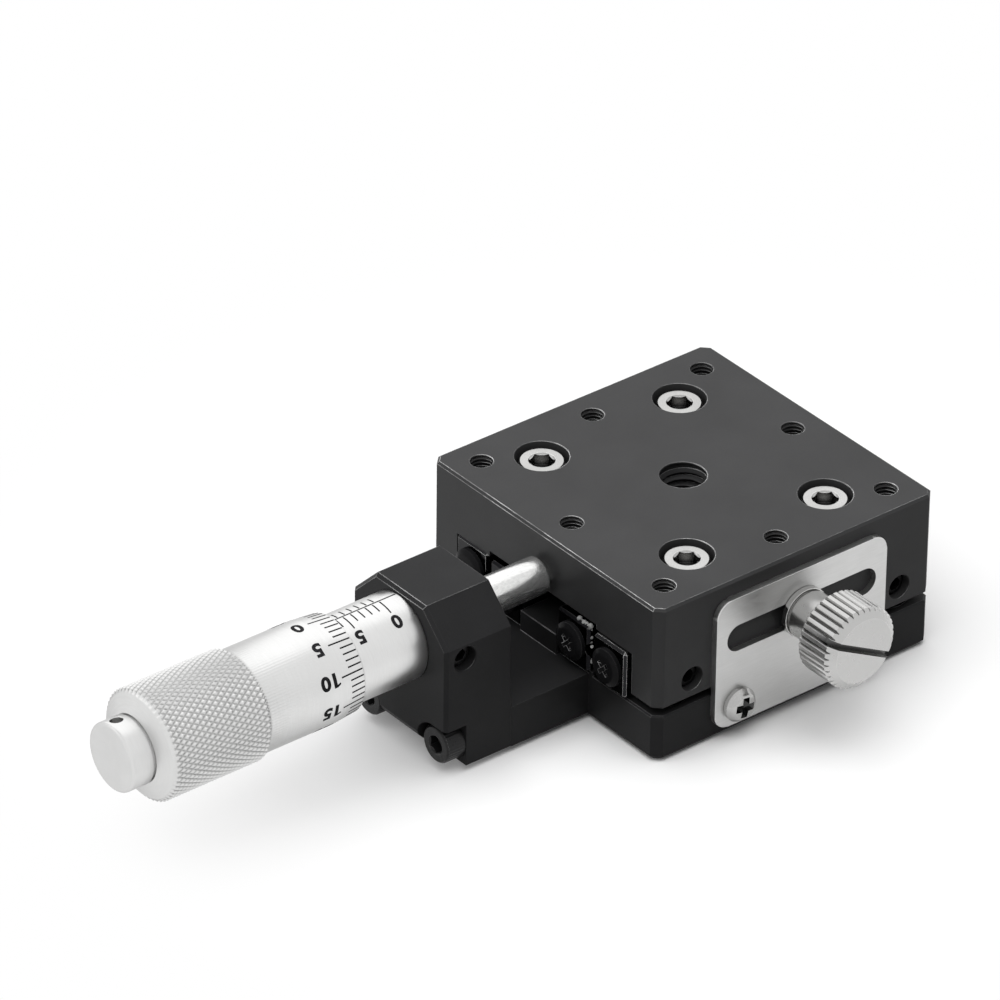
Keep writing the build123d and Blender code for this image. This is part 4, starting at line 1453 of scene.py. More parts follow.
    def cap(self) -> None:
        """Makes the end cap with its stud and spanner hole."""
        stud_end, shoulder = self.end + self.stud_length, self.end - self.cap_groove
        neck = self.cap_r - self.cap_groove
        body = turned([
            (stud_end, 0, 0), (stud_end, self.stud_r, 0.2), (self.end, self.stud_r, 0),
            (self.end, neck, 0), (shoulder, neck, 0), (shoulder, self.cap_r, 0.08),
            (self.cap_end, self.cap_r, 0.35), (self.cap_end, 0, 0),
        ], Axis.X, AXIS_Z, self.round_steps, 4, self.margin)
        hole = bore(Axis.Z, ((shoulder + self.cap_end) / 2, 0, 0), [
            (self.cap_r - self.spanner_depth, self.spanner_r),
            (self.cap_r - 0.08, self.spanner_r), (self.cap_r + CLEAR, self.spanner_r + CLEAR),
        ], 48)
        lean = Matrix.Rotation(radians(self.spanner_angle), 4, "X")
        moved(hole, Matrix.Translation((0, 0, AXIS_Z)) @ lean)
        settle(boolean(body, [hole]), "cap_body", Finish.CHROME, "micrometer_thimble",
               "thimble_cap")

    def sleeve_scale(self, datum: float) -> list[BMesh | Mesh]:
        """Lays out the sleeve's line, its millimetres and halves, and its figures.

        Args:
            datum: the angle of the line.

        Returns:
            The meshes of all of them.
        """
        scale, letters = Scale(self.sleeve_r), Lettering(height=1.55)
        start = self.bracket_face - self.line_start
        gap, figures_off = self.line_gap / self.sleeve_r, self.figures_off / self.sleeve_r
        bar = (start - self.sleeve_end - 1, scale.width)
        parts = [scale.lines("datum_line", 1, (start, datum), (0.0, 0.0), (-0.5, 0.0), bar, bar)]
        for name, side, count, first, short, long in (
            ("whole_lines", 1, self.sleeve_ticks, self.zero_x, 1.35, 2.1),
            ("half_lines", -1, self.sleeve_ticks - 1, self.zero_x - 0.5, 1.1, 1.1),
        ):
            parts.append(scale.lines(
                name, count, (first, datum + side * gap), (-1.0, 0.0), (0.0, side * 0.5),
                (scale.width, short), (scale.width, long),
            ))
        return [
            letters.figure(str(number), self.zero_x - number, datum + figures_off, self.sleeve_r)
            for number in (0, 5, 10)
        ] + parts

    def thimble_scale(self, datum: float) -> list[BMesh | Mesh]:
        """Lays out the thimble's divisions and figures.

        Args:
            datum: the angle of its 0.

        Returns:
            The meshes of all of them.
        """
        scale = Scale(self.edge_r, self.edge, (self.thimble_r - self.edge_r) / self.bevel)
        letters, angle = Lettering(height=1.6), tau / self.divisions
        inset, figures_x, tens_x = 0.15, -53.85, -54.0
        return [
            letters.figure(str(number), figures_x if number < 10 else tens_x,
                           datum + angle * number, self.thimble_r)
            for number in range(0, self.divisions, 5)
        ] + [scale.lines(
            "thimble_lines", self.divisions, (self.edge - inset, datum), (0.0, angle),
            (-0.5, 0.0), (1.85, scale.width), (3.0, scale.width),
        )]

    def build(self) -> None:
        """Makes the whole head."""
        self.sleeve()
        self.spindle()
        self.thimble()
        self.cap()
        datum = radians(self.datum_angle)
        settle(joined(self.sleeve_scale(datum)), "sleeve_scale", Finish.INK, "base")
        settle(joined(self.thimble_scale(datum)), "thimble_scale", Finish.INK,
               "micrometer_thimble")


@dataclass(frozen=True)
class Row:
    """Where a group of like pieces sits: its middle, its steps and how the copies turn."""

    centre: Point
    columns: int = 1
    rows: int = 1
    across: Point = (0.0, 0.0, 0.0)
    down: Point = (0.0, 0.0, 0.0)
    turn: Point = (0.0, 0.0, 0.0)
    flip: Point = (0.0, 0.0, 0.0)  # further turn of each column
    shift: Point = (0.0, 0.0, 0.0)  # further step of each row
    skip: int = -1

    def spread(
        self, source: BMesh | Mesh, name: str, finish: Finish, body: str, *nodes: str
    ) -> None:
        """Grows one piece of all the copies and settles it.

        Args:
            source: the shape of one copy about the origin.
            name: the piece's name.
            finish: its finish.
            body: the CAD body that carries it.
            nodes: the CAD nodes that it stands for.
        """
        model = shown("model", plain_mesh(source, "model"))
        grown = Growth(
            name, finish, Model=model, Columns=float(self.columns),
            Count=self.columns * self.rows, Centre=self.centre, Across=self.across,
            Down=self.down, Turn=self.turn, Flip=self.flip, Shift=self.shift,
            Skip=float(self.skip), Middle=((self.columns - 1) / 2, (self.rows - 1) / 2, 0.0),
        )
        inputs = grown.source

        def plus(start: NodeSocket, step: NodeSocket, times: NodeSocket) -> NodeSocket:
            """A place or turn with so many steps added."""
            scaled = grown.out("ShaderNodeVectorMath", {0: step, "Scale": times},
                               operation="SCALE")
            return grown.out("ShaderNodeVectorMath", {0: start, 1: scaled}, operation="ADD")

        index = grown.out("GeometryNodeInputIndex")
        column = grown.maths("MODULO", index, inputs["Columns"])
        row = grown.maths("FLOOR", grown.maths("DIVIDE", index, inputs["Columns"]))
        middle = grown.split(inputs["Middle"])
        place = plus(
            inputs["Centre"], inputs["Across"], grown.maths("SUBTRACT", column, middle[0])
        )
        place = plus(place, inputs["Down"], grown.maths("SUBTRACT", row, middle[1]))
        points = grown.out("GeometryNodePoints", {
            "Count": inputs["Count"], "Position": plus(place, inputs["Shift"], row),
        })
        from_skip = grown.maths("ABSOLUTE", grown.maths("SUBTRACT", index, inputs["Skip"]))
        shape = grown.node("GeometryNodeObjectInfo", {"Object": inputs["Model"]})
        mesh = grown.grow(grown.out("GeometryNodeInstanceOnPoints", {
            "Points": points, "Selection": grown.maths("GREATER_THAN", from_skip, 0.5),
            "Instance": shape.outputs["Geometry"],
            "Rotation": plus(inputs["Turn"], inputs["Flip"], column),
        }))
        discard(model)
        settle(mesh, name, finish, body, *nodes)


def hexagon(across: float) -> list[Flat]:
    """A hexagon about the origin, from its width across flats."""
    radius = across / sqrt(3)
    return [(radius * cos(tau * step / 6), radius * sin(tau * step / 6)) for step in range(6)]


@dataclass(frozen=True)
class CapScrew:
    """A socket head cap screw pointing down, with its head's seat at z 0."""

    head_r: float
    head: float
    hexagon_width: float
    shank_r: float
    length: float
    flutes: int = 0
    flute_depth: float = 0.07
    lead: float = 0.16
    tip: float = 0.25  # how much of the shank's radius its end is cut by

    def flute(self, bm: BMesh, low: float, high: float) -> None:
        """Cuts the flutes into the head's side.

        Args:
            bm: the screw, changed in place.
            low: where they start.
            high: where they end.
        """
        for vert in bm.verts:
            radius = hypot(vert.co.x, vert.co.y)
            if low < vert.co.z < high and radius > self.head_r * 0.97:
                phase = atan2(vert.co.y, vert.co.x) / tau * self.flutes % 1.0
                cut = 1 - self.flute_depth / radius * abs(2 * phase - 1)
                vert.co.x *= cut
                vert.co.y *= cut

    def build(self) -> BMesh:
        """Makes the screw with its hexagon socket and fluted head.

        Returns:
            The screw.
        """
        rim = self.head_r * 0.1
        bm = turned([
            (-self.length, 0, 0), (-self.length, self.shank_r * (1 - self.tip), 0),
            (-self.length + self.shank_r * self.tip, self.shank_r, 0), (0, self.shank_r, 0),
            (0, self.head_r, 0.08), (self.head - rim, self.head_r, 0.06),
            (self.head, self.head_r - rim, 0.06), (self.head, 0, 0),
        ], Axis.Z, segments=4 * self.flutes or 72, steps=2, margin=0.04)
        if self.flutes:
            self.flute(bm, 0.2, self.head - rim * 0.8)
        socket = prism(hexagon(self.hexagon_width), Axis.Z, self.head / 2, self.head + CLEAR)
        bm = boolean(bm, [socket])
        entry, mouth, over = self.hexagon_width / sqrt(3) - self.lead, self.head - 0.2, 0.3
        cone = bore(Axis.Z, (0, 0, 0), [(mouth, entry), (mouth + over, entry + over)], 48)
        return boolean(bm, [cone])


@dataclass(frozen=True)
class CrossScrew:
    """A cross recessed screw pointing down, with its head's seat at z 0."""

    head_r: float
    head: float
    dome: float
    arm: float
    arm_width: float
    shank_r: float
    length: float
    cross_turn: float = 45.0
    depth: float = 0.62  # of the recess, as a share of the head
    tip: float = 0.2  # how much of the shank's radius its end is cut by

    def mark(self, bm: BMesh) -> None:
        """Marks the faces of the recess, where its finish paints shade.

        Args:
            bm: the screw, changed in place.
        """
        marks = bm.loops.layers.float.new("groove")
        floor, near, reach = self.head * (1 - self.depth), 0.02, self.arm / 2
        for face in bm.faces:
            if any(abs(vert.co.z - floor) < near and vert.co.xy.length < reach
                   for vert in face.verts):
                for loop in face.loops:
                    loop[marks] = 1.0

    def build(self) -> BMesh:
        """Makes the screw with its rounded head and tapered cross recess.

        Returns:
            The screw.
        """
        bm = turned([
            (-self.length, 0, 0), (-self.length, self.shank_r * (1 - self.tip), 0),
            (-self.length + self.shank_r * self.tip, self.shank_r, 0), (0, self.shank_r, 0),
            (0, self.head_r, 0.08), (self.head * (1 - self.dome), self.head_r, 0.12),
            (self.head * 0.93, self.head_r * 0.74, self.head_r * 0.35),
            (self.head, self.head_r * 0.3, 0), (self.head, 0, 0),
        ], Axis.Z, segments=72, steps=4, margin=0.03)
        over, top, floor = 0.2, self.arm / 2 + 0.08, self.head * (1 - self.depth)
        root = self.arm * 0.16
        for turn in (0.0, pi / 2):
            wedge = prism([
                (-top, self.head + over), (-root, floor), (root, floor), (top, self.head + over),
            ], Axis.Y, -self.arm_width / 2, self.arm_width / 2)
            moved(wedge, Matrix.Rotation(turn + radians(self.cross_turn), 4, "Z"))
            bm = boolean(bm, [wedge])
        self.mark(bm)
        return bm


@dataclass(frozen=True)
class SetScrew:
    """A socket set screw along Z, from 0 down to minus its length."""

    radius: float
    length: float
    hexagon_width: float
    tip: float = 0.2  # how much of its radius each end is cut by
    socket: float = 1.5

    def build(self) -> BMesh:
        """Makes the screw with its cut ends and hexagon socket.

        Returns:
            The screw.
        """
        edge = self.radius * self.tip
        bm = bore(Axis.Z, (0, 0, 0), [
            (-self.length, self.radius - edge), (-self.length + edge, self.radius),
            (-edge, self.radius), (0, self.radius - edge),
        ])
        depth = min(self.socket, self.length / 2)
        return boolean(bm, [prism(hexagon(self.hexagon_width), Axis.Z, -depth, CLEAR)])


@dataclass
class Fasteners:
    """All the screws, each group as one piece that replaces its node and sits in its holes."""

    table: CapScrew = CapScrew(
        head_r=2.72, head=3.0, hexagon_width=2.65, shank_r=1.45, length=8.0
    )
    below: CapScrew = CapScrew(head_r=2.75, head=3.0, hexagon_width=2.5, shank_r=1.45, length=6.0)
    bracket: CapScrew = CapScrew(
        head_r=2.25, head=2.5, hexagon_width=2.0, shank_r=1.2, length=10.0, flutes=36
    )
    preload: SetScrew = SetScrew(radius=1.45, length=4.0, hexagon_width=1.5)
    holder: SetScrew = SetScrew(radius=1.45, length=2.98, hexagon_width=1.5)
    plate: CrossScrew = CrossScrew(
        head_r=2.08, head=1.4, dome=0.62, arm=2.9, arm_width=0.92, shank_r=1.3, length=5.5,
        cross_turn=-8.0,
    )
    stop: CrossScrew = CrossScrew(
        head_r=2.3, head=0.9, dome=0.4, arm=2.3, arm_width=0.5, shank_r=1.0, length=4.0
    )
    lying: float = pi / 2
    table_turn: float = radians(22)
    preload_y: float = -19.2
    holder_y: float = -7.2
    stops_apart: float = 41.0
    outer_apart: float = 24.9
    inner_apart: float = 11.9

    def stops(self, apart: float, first: float = 0.0, step: float = 0.0) -> Row:
        """The four end screws of two rails.

        Args:
            apart: how far apart the rails' middles are.
            first: how far the front pair is moved along X.
            step: how much further the rear pair is moved.

        Returns:
            Their places.
        """
        return Row(
            (first, 0.0, GUIDE_Z), 2, 2, (self.stops_apart, 0.0, 0.0), (0.0, apart, 0.0),
            turn=(0.0, -self.lying, 0.0), flip=(0.0, pi, 0.0), shift=(step, 0.0, 0.0),
        )

    def build(self) -> None:
        """Makes every group of screws."""
        forward = (self.lying, 0.0, 0.0)
        for model, name, finish, body, node, row in (
            (self.table, "table_screws", Finish.NICKEL, "slide_table", "table_rail_screws",
             Row((0.0, 0.0, Table.sunk_floor), 2, 2, (2 * Table.screw_x, 0.0, 0.0),
                 (0.0, 2 * Table.screw_y, 0.0), (0.0, 0.0, self.table_turn))),
            (self.below, "base_screws", Finish.NICKEL, "base", "base_rail_screws",
             Row((0.0, 0.0, Base.rail_floor), 2, 2, (2 * Base.rail_screw_x, 0.0, 0.0),
                 (0.0, 2 * Base.rail_screw_y, 0.0), (pi, 0.0, 0.0))),
            (self.bracket, "bracket_cap_screws", Finish.BLACK_STEEL, "base", "bracket_screws",
             Row((Bracket.pocket_floor, 0.0, Bracket.screw_z), 1, 2,
                 down=(0.0, 2 * Bracket.screw_y, 0.0), turn=(0.0, -self.lying, 0.0))),
            (self.preload, "preload_screws", Finish.SUNK, "slide_table", "preload_set_screws",
             Row((0.0, self.preload_y, GUIDE_Z), 3, 1, (Table.preload_x, 0.0, 0.0),
                 turn=forward)),
            (self.holder, "stem_screw", Finish.BLACK_STEEL, "base", "sleeve_set_screw",
             Row((Bracket.set_x, self.holder_y, AXIS_Z), turn=forward)),
            (self.plate, "plate_screws", Finish.NICKEL, "base", "clamp_plate_screws",
             Row((0.0, Clamp.face, Clamp.screw_z), 2, 1, (2 * Clamp.screw_x, 0.0, 0.0),
                 turn=forward)),
            (self.stop, "outer_rail_stops", Finish.STOP, "slide_table",
             "outer_rail_end_screws", self.stops(self.outer_apart, first=-0.15, step=0.55)),
            (self.stop, "inner_rail_stops", Finish.STOP, "base", "inner_rail_end_screws",
             self.stops(self.inner_apart)),
        ):
            row.spread(model.build(), name, finish, body, node)


@dataclass
class Threads:
    """Thread ridges in the tapped holes of the table, each one wound by a node tree."""

    top: float = 19.6
    per_turn: int = 28
    sides: int = 4
    sunk: float = 0.15  # how much of the ridge lies in the wall

    def helix(self, name: str, radius: float, pitch: float, depth: float, ridge: float
              ) -> Mesh:
        """One thread ridge, hanging down from z 0.

        Args:
            name: the tree's name.
            radius: the hole's radius, where the ridge's root is.
            pitch: its rise in a turn.
            depth: the length of thread.
            ridge: how far the ridge stands in.

        Returns:
            The ridge.
        """
        grown = Growth(
            name, Finish.ANODISED, Turns=depth / pitch, Radius=radius - ridge * self.sunk,
            Length=depth, Ridge=ridge, PerTurn=self.per_turn, Sides=self.sides,
        )
        source = grown.source
        spiral = grown.out("GeometryNodeCurveSpiral", {
            "Resolution": source["PerTurn"], "Rotations": source["Turns"],
            "Start Radius": source["Radius"], "End Radius": source["Radius"],
            "Height": source["Length"],
        })
        section = grown.out("GeometryNodeCurvePrimitiveCircle", {
            "Resolution": source["Sides"], "Radius": source["Ridge"],
        })
        wound = grown.out("GeometryNodeCurveToMesh", {
            "Curve": spiral, "Profile Curve": section, "Fill Caps": True,
        })
        low = grown.vector(z=grown.product(source["Length"], -1.0))
        return grown.grow(
            grown.out("GeometryNodeTransform", {"Geometry": wound, "Translation": low})
        )

    def build(self) -> None:
        """Winds the ridges of the small holes and of the centre hole."""
        middle = (0.0, 0.0, self.top)
        Row(middle, 3, 3, (GRID, 0.0, 0.0), (0.0, GRID, 0.0), skip=4).spread(
            self.helix("small_thread", radius=1.5, pitch=0.5, depth=4.6, ridge=0.2),
            "small_threads", Finish.ANODISED, "slide_table",
        )
        Row(middle).spread(
            self.helix("large_thread", radius=3.0, pitch=1.0, depth=6.6, ridge=0.4),
            "centre_thread", Finish.ANODISED, "slide_table",
        )


@dataclass
class Guides:
    """Rails, cages, rollers and the spring's posts, which keep their CAD shape."""

    sides: tuple[str, str] = ("front", "rear")
    rollers: int = 7

    def dress(self, node: str, finish: Finish) -> None:
        """Gives one CAD node its finish.

        Args:
            node: the node's name.
            finish: its finish.
        """
        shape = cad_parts[node]
        shape.data.materials.clear()
        shape.data.materials.append(paint(finish))
        LOG.info("node %s keeps its CAD shape", node)

    def build(self) -> None:
        """Dresses every node that stays."""
        for side in self.sides:
            self.dress(f"outer_rail_{side}", Finish.RAIL)
            self.dress(f"inner_rail_{side}", Finish.INNER_RAIL)
            self.dress(f"roller_cage_{side}", Finish.CAGE)
            for index in range(self.rollers):
                self.dress(f"roller_{side}_{index + 1}", Finish.ROLLER)
        for node in ("spring_post_base", "spring_post_table"):
            self.dress(node, Finish.NICKEL)


@dataclass
class Grease:
    """Clear guide grease that has run together on the end of the front inner rail."""

    face: float = -20.02
    jitter: float = 0.16
    grain: float = 0.045
    least: float = 0.5
    most: float = 1.4
    seed: int = 7
    skin: float = 0.1
    smears: tuple[tuple[Flat, Flat, int, float], ...] = (
        ((-6.0, 12.2), (-8.6, 12.3), 18, 0.24),
        ((-8.5, 12.1), (-8.6, 9.8), 12, 0.16),
        ((-8.6, 8.2), (-8.6, 7.2), 7, 0.13),
        ((-6.6, 11.9), (-7.8, 10.2), 12, 0.2),
        ((-3.9, 11.4), (-5.6, 11.9), 9, 0.14),
        ((-5.5, 8.6), (-6.4, 8.3), 6, 0.1),
    )

    def smear(self, index: int, start: Flat, end: Flat, count: int, radius: float) -> Mesh:
        """One run of drops that melt into each other.

        Args:
            index: the run's number, which also moves its seed on.
            start: y and z of its first drop.
            end: y and z of its last drop.
            count: how many drops.
            radius: a middling drop's radius.

        Returns:
            The grease.
        """
        step = [(b - a) / (count - 1) for a, b in zip(start, end)]
        grown = Growth(
            f"grease_{index}", Finish.GREASE, Count=count, Start=(self.face, *start),
            Step=(0.0, *step), Jitter=self.jitter, Least=radius * self.least,
            Most=radius * self.most, Grain=self.grain, Seed=self.seed + index,
        )
        source = grown.source
        line = grown.out("GeometryNodeMeshLine", {
            "Count": source["Count"], "Start Location": source["Start"], "Offset": source["Step"],
        }, mode="OFFSET")
        low = grown.product(source["Jitter"], -1.0)
        stray = grown.out("FunctionNodeRandomValue", {
            0: grown.vector(0.0, low, low),
            1: grown.vector(0.0, source["Jitter"], source["Jitter"]), "Seed": source["Seed"],
        }, data_type="FLOAT_VECTOR")
        size = grown.node("FunctionNodeRandomValue", {
            2: source["Least"], 3: source["Most"], "Seed": source["Seed"],
        }, data_type="FLOAT").outputs[1]
        strayed = grown.out("GeometryNodeSetPosition", {"Geometry": line, "Offset": stray})
        drops = grown.out("GeometryNodeMeshToPoints", {"Mesh": strayed, "Radius": size})
        mass = grown.out("GeometryNodePointsToVolume", {
            "Points": drops, "Density": 1.0, "Voxel Size": source["Grain"], "Radius": size,
        }, resolution_mode="VOXEL_SIZE")
        return grown.grow(
            grown.out("GeometryNodeVolumeToMesh", {"Volume": mass, "Threshold": self.skin})
        )

    def build(self) -> None:
        """Lays every run and joins them on the base."""
        runs = [self.smear(index, *smear) for index, smear in enumerate(self.smears)]
        settle(joined(runs), "rail_grease", Finish.GREASE, "base", smooth=radians(60))


@dataclass
class Anvil:
    """The hardened pin in the table's face that the spindle pushes."""

    face: float = -20.7
    depth: float = -18.0
    radius: float = 1.49

    def build(self) -> None:
        """Turns the pin with its rounded rim."""
        bm = turned([
            (self.face, 0, 0), (self.face, self.radius, 0.15), (self.depth, self.radius, 0),
            (self.depth, 0, 0),
        ], Axis.X, AXIS_Z, 64)
        settle(bm, "anvil_pin", Finish.STEEL, "slide_table", "spindle_anvil")


@dataclass
class Clamp:
    """Slotted plate, washer and fluted knob of the travel clamp."""

    face: float = -20.8
    back: float = -20.0
    centre_z: float = 9.85
    width: float = 24.5
    height: float = 16.6
    corner: float = 2.0
    slot_length: float = 21.5
    slot_width: float = 3.4
    slot_steps: int = 20
    screw_x: float = 9.0
    screw_z: float = 4.2
    screw_r: float = 1.35
    edge: float = 0.07
    washer_r: float = 3.0
    washer_front: float = -21.58
    washer_back: float = -20.83
    washer_bore: float = 1.55
    washer_edge: float = 0.08
    stud_tip: float = -16.2
    stud_r: float = 1.45
    neck_start: float = -21.61
    neck_r: float = 2.9
    neck_groove: float = 0.3
    neck_over: float = 0.4
    head_start: float = -25.91
    head_face: float = -31.26
    head_r: float = 5.0
    head_back_r: float = 4.8
    head_rings: tuple[float, float] = (2.4, 4.45)
    head_face_r: float = 3.95
    head_chamfer: float = 0.85
    chamfer_steps: int = 8
    face_break: float = 0.06
    flutes: int = 36
    flute_depth: float = 0.45
    flute_crest: float = 0.55
    flute_inner_r: float = 4.4
    per_flute: int = 8
    cut_width: float = 0.8
    cut_depth: float = 1.3
    cut_half: float = 8.0
    cut_angle: float = 28.4

    def plate(self) -> None:
        """Cuts the plate and its slot."""
        low, high = self.centre_z - self.height / 2, self.centre_z + self.height / 2
        half = self.width / 2
        bm = prism(soften([
            (-half, low, self.corner), (half, low, self.corner), (half, high, self.corner),
            (-half, high, self.corner),
        ], 10, 0.0), Axis.Y, self.face, self.back)
        bevel_where(bm, self.edge, lambda a, b: abs(a.y - b.y) < WELD)
        front, back = self.face - CLEAR, self.back + CLEAR
        end, radius = (self.slot_length - self.slot_width) / 2, self.slot_width / 2
        turns = [pi * (step / self.slot_steps - 0.5) for step in range(self.slot_steps + 1)]
        tools = [prism([
            (sign * (end + radius * cos(turn)), CLAMP_Z + sign * radius * sin(turn))
            for sign in (1, -1) for turn in turns
        ], Axis.Y, front, back)]
        tools += [
            bore(Axis.Y, (x, 0, self.screw_z), [(front, self.screw_r), (back, self.screw_r)])
            for x in (-self.screw_x, self.screw_x)
        ]
        settle(boolean(bm, tools), "slotted_plate", Finish.SHEET, "base", "clamp_plate")

    def washer(self) -> None:
        """Turns the washer."""
        edge = self.washer_edge
        bm = turned([
            (self.washer_back, self.washer_bore, edge), (self.washer_back, self.washer_r, edge),
            (self.washer_front, self.washer_r, edge), (self.washer_front, self.washer_bore, edge),
        ], Axis.Y, CLAMP_Z)
        settle(bm, "knob_washer", Finish.NICKEL, "washer", "clamp_washer")

    def stem(self) -> BMesh:
        """Turns the knob's stud and neck.

        Returns:
            Their mesh.
        """
        groove = self.neck_r - self.neck_groove
        shoulder, end = self.neck_start - self.neck_groove, self.head_start - self.neck_over
        return turned([
            (self.stud_tip, 0, 0), (self.stud_tip, self.stud_r, 0.25),
            (self.neck_start, self.stud_r, 0), (self.neck_start, groove, 0),
            (shoulder, groove, 0), (shoulder, self.neck_r, 0.1), (end, self.neck_r, 0),
            (end, 0, 0),
        ], Axis.Y, CLAMP_Z)

    def fluted_radius(self, step: int) -> float:
        """Follows the flutes round the knob.

        Args:
            step: the step from the start.

        Returns:
            The knob's outside radius there.
        """
        phase = step % self.per_flute / self.per_flute
        fall = (min(phase, 1 - phase) * 2 - self.flute_crest) / (1 - self.flute_crest)
        return self.head_r - self.flute_depth * max(0.0, fall)

    def head(self) -> BMesh:
        """Turns the knob's head and cuts its flutes.

        Returns:
            Its mesh.
        """
        start, back_edge = self.head_start, self.head_r - self.head_back_r
        shares = [step / self.chamfer_steps for step in range(self.chamfer_steps + 1)]
        rings = [(start, radius) for radius in (0.0, *self.head_rings, self.head_back_r)]
        rings += [(start - back_edge, self.head_r)]
        rings += [
            (self.head_face + self.head_chamfer * (1 - share),
             self.head_r + (self.head_face_r - self.head_r) * share)
            for share in shares
        ]
        rings += [(self.head_face, self.head_face_r - self.face_break), (self.head_face, 0.0)]
        segments = self.flutes * self.per_flute
        bm = lathe(rings, Axis.Y, (0, 0, CLAMP_Z), segments)
        for vert in bm.verts:
            across = vert.co - Vector((0, vert.co.y, CLAMP_Z))
            step = round(atan2(across.z, across.x) / tau * segments) % segments
            limit = self.fluted_radius(step)
            if across.length > max(limit, self.flute_inner_r):
                vert.co -= across * (1 - limit / across.length)
        return bm

    def knob(self) -> None:
        """Joins the stud and the head, cuts the screwdriver slot and marks its walls, where the
        finish paints shade.
        """
        half, floor = self.cut_width / 2, self.head_face + self.cut_depth
        cut = block((-self.cut_half, self.head_face - CLEAR, -half),
                    (self.cut_half, floor, half))
        turn = Matrix.Rotation(radians(self.cut_angle), 4, "Y")
        centre = Vector((0, 0, CLAMP_Z))
        moved(cut, Matrix.Translation(centre) @ turn)
        whole = joined([self.stem(), boolean(self.head(), [cut])])
        piece = settle(whole, "knob_body", Finish.KNOB, "knob", "clamp_knob",
                       smooth=radians(24))
        # Marks for painted shade on the slot's walls.
        marks = piece.data.attributes.new("groove", "FLOAT", "POINT")
        near = 0.05
        for vert, mark in zip(piece.data.vertices, marks.data):
            level = turn.inverted() @ (vert.co / MM - centre)
            if abs(level.z) < half + 10 * WELD and self.head_face + near < level.y < floor + near:
                mark.value = 1.0

    def build(self) -> None:
        """Makes the clamp."""
        self.plate()
        self.washer()
        self.knob()


@dataclass
class ReturnSpring:
    """The extension spring between the two posts, drawn at one length; the real one stretches when
    the table moves.
    """

    height: float = 10.9
    radius: float = 1.45
    wire: float = 0.25
    pitch: float = 2.0
    coils: int = 11
    base_post: float = -16.0
    table_post: float = 12.0
    loop_r: float = 1.15
    loop_start: float = 0.12
    loop_turn: float = 0.86
    loop_steps: int = 22
    per_turn: int = 24

    def path(self) -> list[Vector]:
        """Draws the wire's middle line.

        Returns:
            Its points, hook to hook.
        """
        middle = (self.base_post + self.table_post) / 2
        start = middle - self.coils * self.pitch / 2
        turns = [tau * (self.loop_start + self.loop_turn * step / self.loop_steps)
                 for step in range(self.loop_steps + 1)]
        hook = [Vector((self.base_post + self.loop_r * cos(turn), self.loop_r * sin(turn),
                        self.height)) for turn in turns]
        rounds = [step / self.per_turn for step in range(self.coils * self.per_turn + 1)]
        helix = [Vector((start + self.pitch * share, self.radius * sin(tau * share),
                         self.height + self.radius * cos(tau * share))) for share in rounds]
        last = [Vector((2 * middle - point.x, -point.y, point.z)) for point in reversed(hook)]
        return hook + helix + last

    def build(self) -> None:
        """Bends the wire between the two posts."""
        curve = bpy.data.curves.new("spring_path", "CURVE")
        curve.dimensions = "3D"
        curve.bevel_depth = self.wire
        curve.bevel_resolution = 3
        curve.use_fill_caps = True
        points = self.path()
        spline = curve.splines.new("POLY")
        spline.points.add(len(points) - 1)
        for point, place in zip(spline.points, points):
            point.co = (*place, 1.0)
        piece = finished(melted(shown("spring_path", curve)), "spring_wire", Finish.WIRE,
                         radians(60))
        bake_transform(piece)
        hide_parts("return_spring")
        LOG.info("piece spring_wire between base and slide_table")


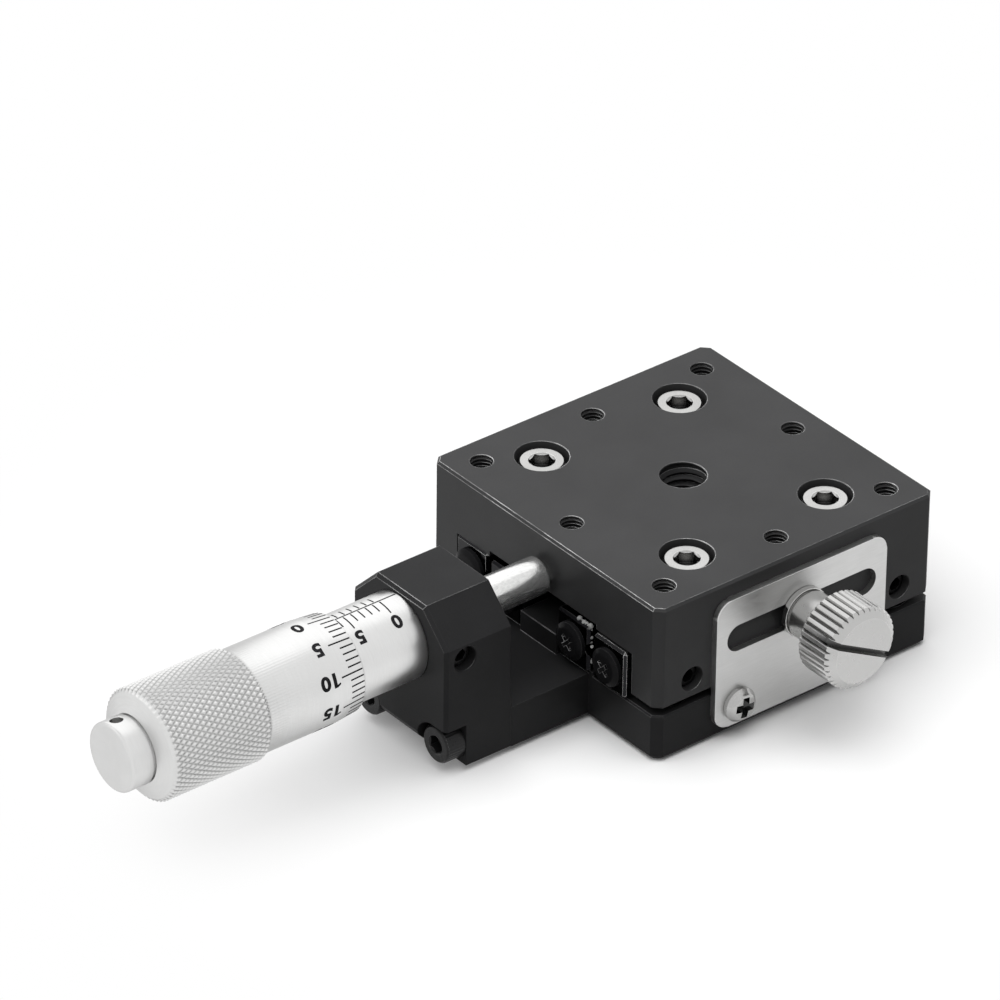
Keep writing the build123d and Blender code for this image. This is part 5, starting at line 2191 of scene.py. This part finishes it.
@dataclass
class Studio:
    """White floor, soft lamps, even world and the camera."""

    camera_place: Point = (-0.52371031, -0.61404581, 0.53365912)
    camera_turn: Point = (57.3318485, -0.58427758, -38.63839638)
    lens: float = 308.88359
    sensor: float = 36.0
    floor_half: float = 3.0
    fade_start: float = 0.022
    fade_end: float = 0.085
    floor_white: float = 0.95
    floor_bounce: float = 0.25
    ambient: float = 0.22
    near_clip: float = 0.05
    far_clip: float = 20.0
    aim: Point = (-0.02, 0, 0.01)

    def camera(self) -> None:
        """Sets the camera at the photograph's viewpoint."""
        data = bpy.data.cameras.new("camera")
        data.lens = self.lens
        data.sensor_width = self.sensor
        data.clip_start, data.clip_end = self.near_clip, self.far_clip
        made = shown("camera", data)
        made.location = self.camera_place
        made.rotation_euler = [radians(angle) for angle in self.camera_turn]
        bpy.context.scene.camera = made

    def floor(self) -> None:
        """Lays the floor, which fades to white away from the object and keeps its shadow."""
        shader = Shading("studio_floor")
        away = shader.node("ShaderNodeVectorMath", {0: shader.place}, operation="LENGTH")
        fade = shader.spread(away.outputs["Value"], self.fade_start, self.fade_end,
                             interpolation_type="SMOOTHSTEP")
        near = shader.spread(fade, to_low=self.floor_white, to_high=0.0)
        seen = shader.seen()
        colour = shader.spread(seen, to_low=self.floor_bounce, to_high=near)
        matt = shader.out("ShaderNodeBsdfDiffuse", {"Color": colour})
        glow = shader.out("ShaderNodeEmission", {"Strength": shader.product(fade, seen)})
        shader.show(shader.node("ShaderNodeAddShader", {0: matt, 1: glow}))
        bm, half = bmesh.new(), self.floor_half
        bm.faces.new([bm.verts.new((x, y, 0)) for x, y in
                      ((-half, -half), (half, -half), (half, half), (-half, half))])
        mesh = plain_mesh(bm, "floor")
        mesh.materials.append(shader.material)
        shown("floor", mesh)

    def lamp(
        self, name: str, place: Point, size: float, power: float, glossy: bool = True,
        matt: bool = True,
    ) -> None:
        """Hangs one soft square lamp that looks at the object.

        Args:
            name: the lamp's name.
            place: where it hangs.
            size: its side.
            power: its strength in watts.
            glossy: whether gloss shows it.
            matt: whether it lights matt surfaces.
        """
        data = bpy.data.lights.new(name, "AREA")
        data.size = size
        data.energy = power
        made = shown(name, data)
        made.location = place
        made.visible_glossy = glossy
        made.visible_diffuse = matt
        facing = Vector(self.aim) - Vector(place)
        made.rotation_euler = facing.to_track_quat("-Z", "Y").to_euler()

    def world(self) -> None:
        """Lights the scene evenly, and shows white behind and in reflections."""
        world = bpy.data.worlds.new("studio_world")
        bpy.context.scene.world = world
        world.use_nodes = True
        nodes = Nodes(world.node_tree)
        ground = nodes.tree.nodes["Background"].inputs
        ground["Color"].default_value = (1, 1, 1, 1)
        nodes.feed(ground["Strength"], nodes.spread(nodes.seen(), to_low=self.ambient))

    def build(self) -> None:
        """Sets up the studio."""
        bpy.context.scene.view_settings.view_transform = "Standard"
        self.camera()
        self.floor()
        self.lamp("key_lamp", (-0.15, -0.02, 1.08), size=1.5, power=17.5, glossy=False)
        self.lamp("fill_lamp", (-1.0, 0.35, 0.35), size=0.8, power=3.0, glossy=False)
        self.lamp("back_lamp", (0.45, 0.55, 0.6), size=1.2, power=2.0, matt=False)
        self.lamp("side_lamp", (-0.65, 0.5, 0.5), size=0.5, power=0.3, matt=False)
        self.world()


def main() -> None:
    """Builds the stage's looks piece by piece."""
    logging.basicConfig(level=logging.INFO, format="%(message)s")
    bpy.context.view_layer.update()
    for part in (
        Studio, Table, Base, Bracket, Micrometer, Guides, Grease, Anvil, Fasteners, Threads,
        Clamp, ReturnSpring,
    ):
        part().build()


if __name__ == "__main__":
    main()
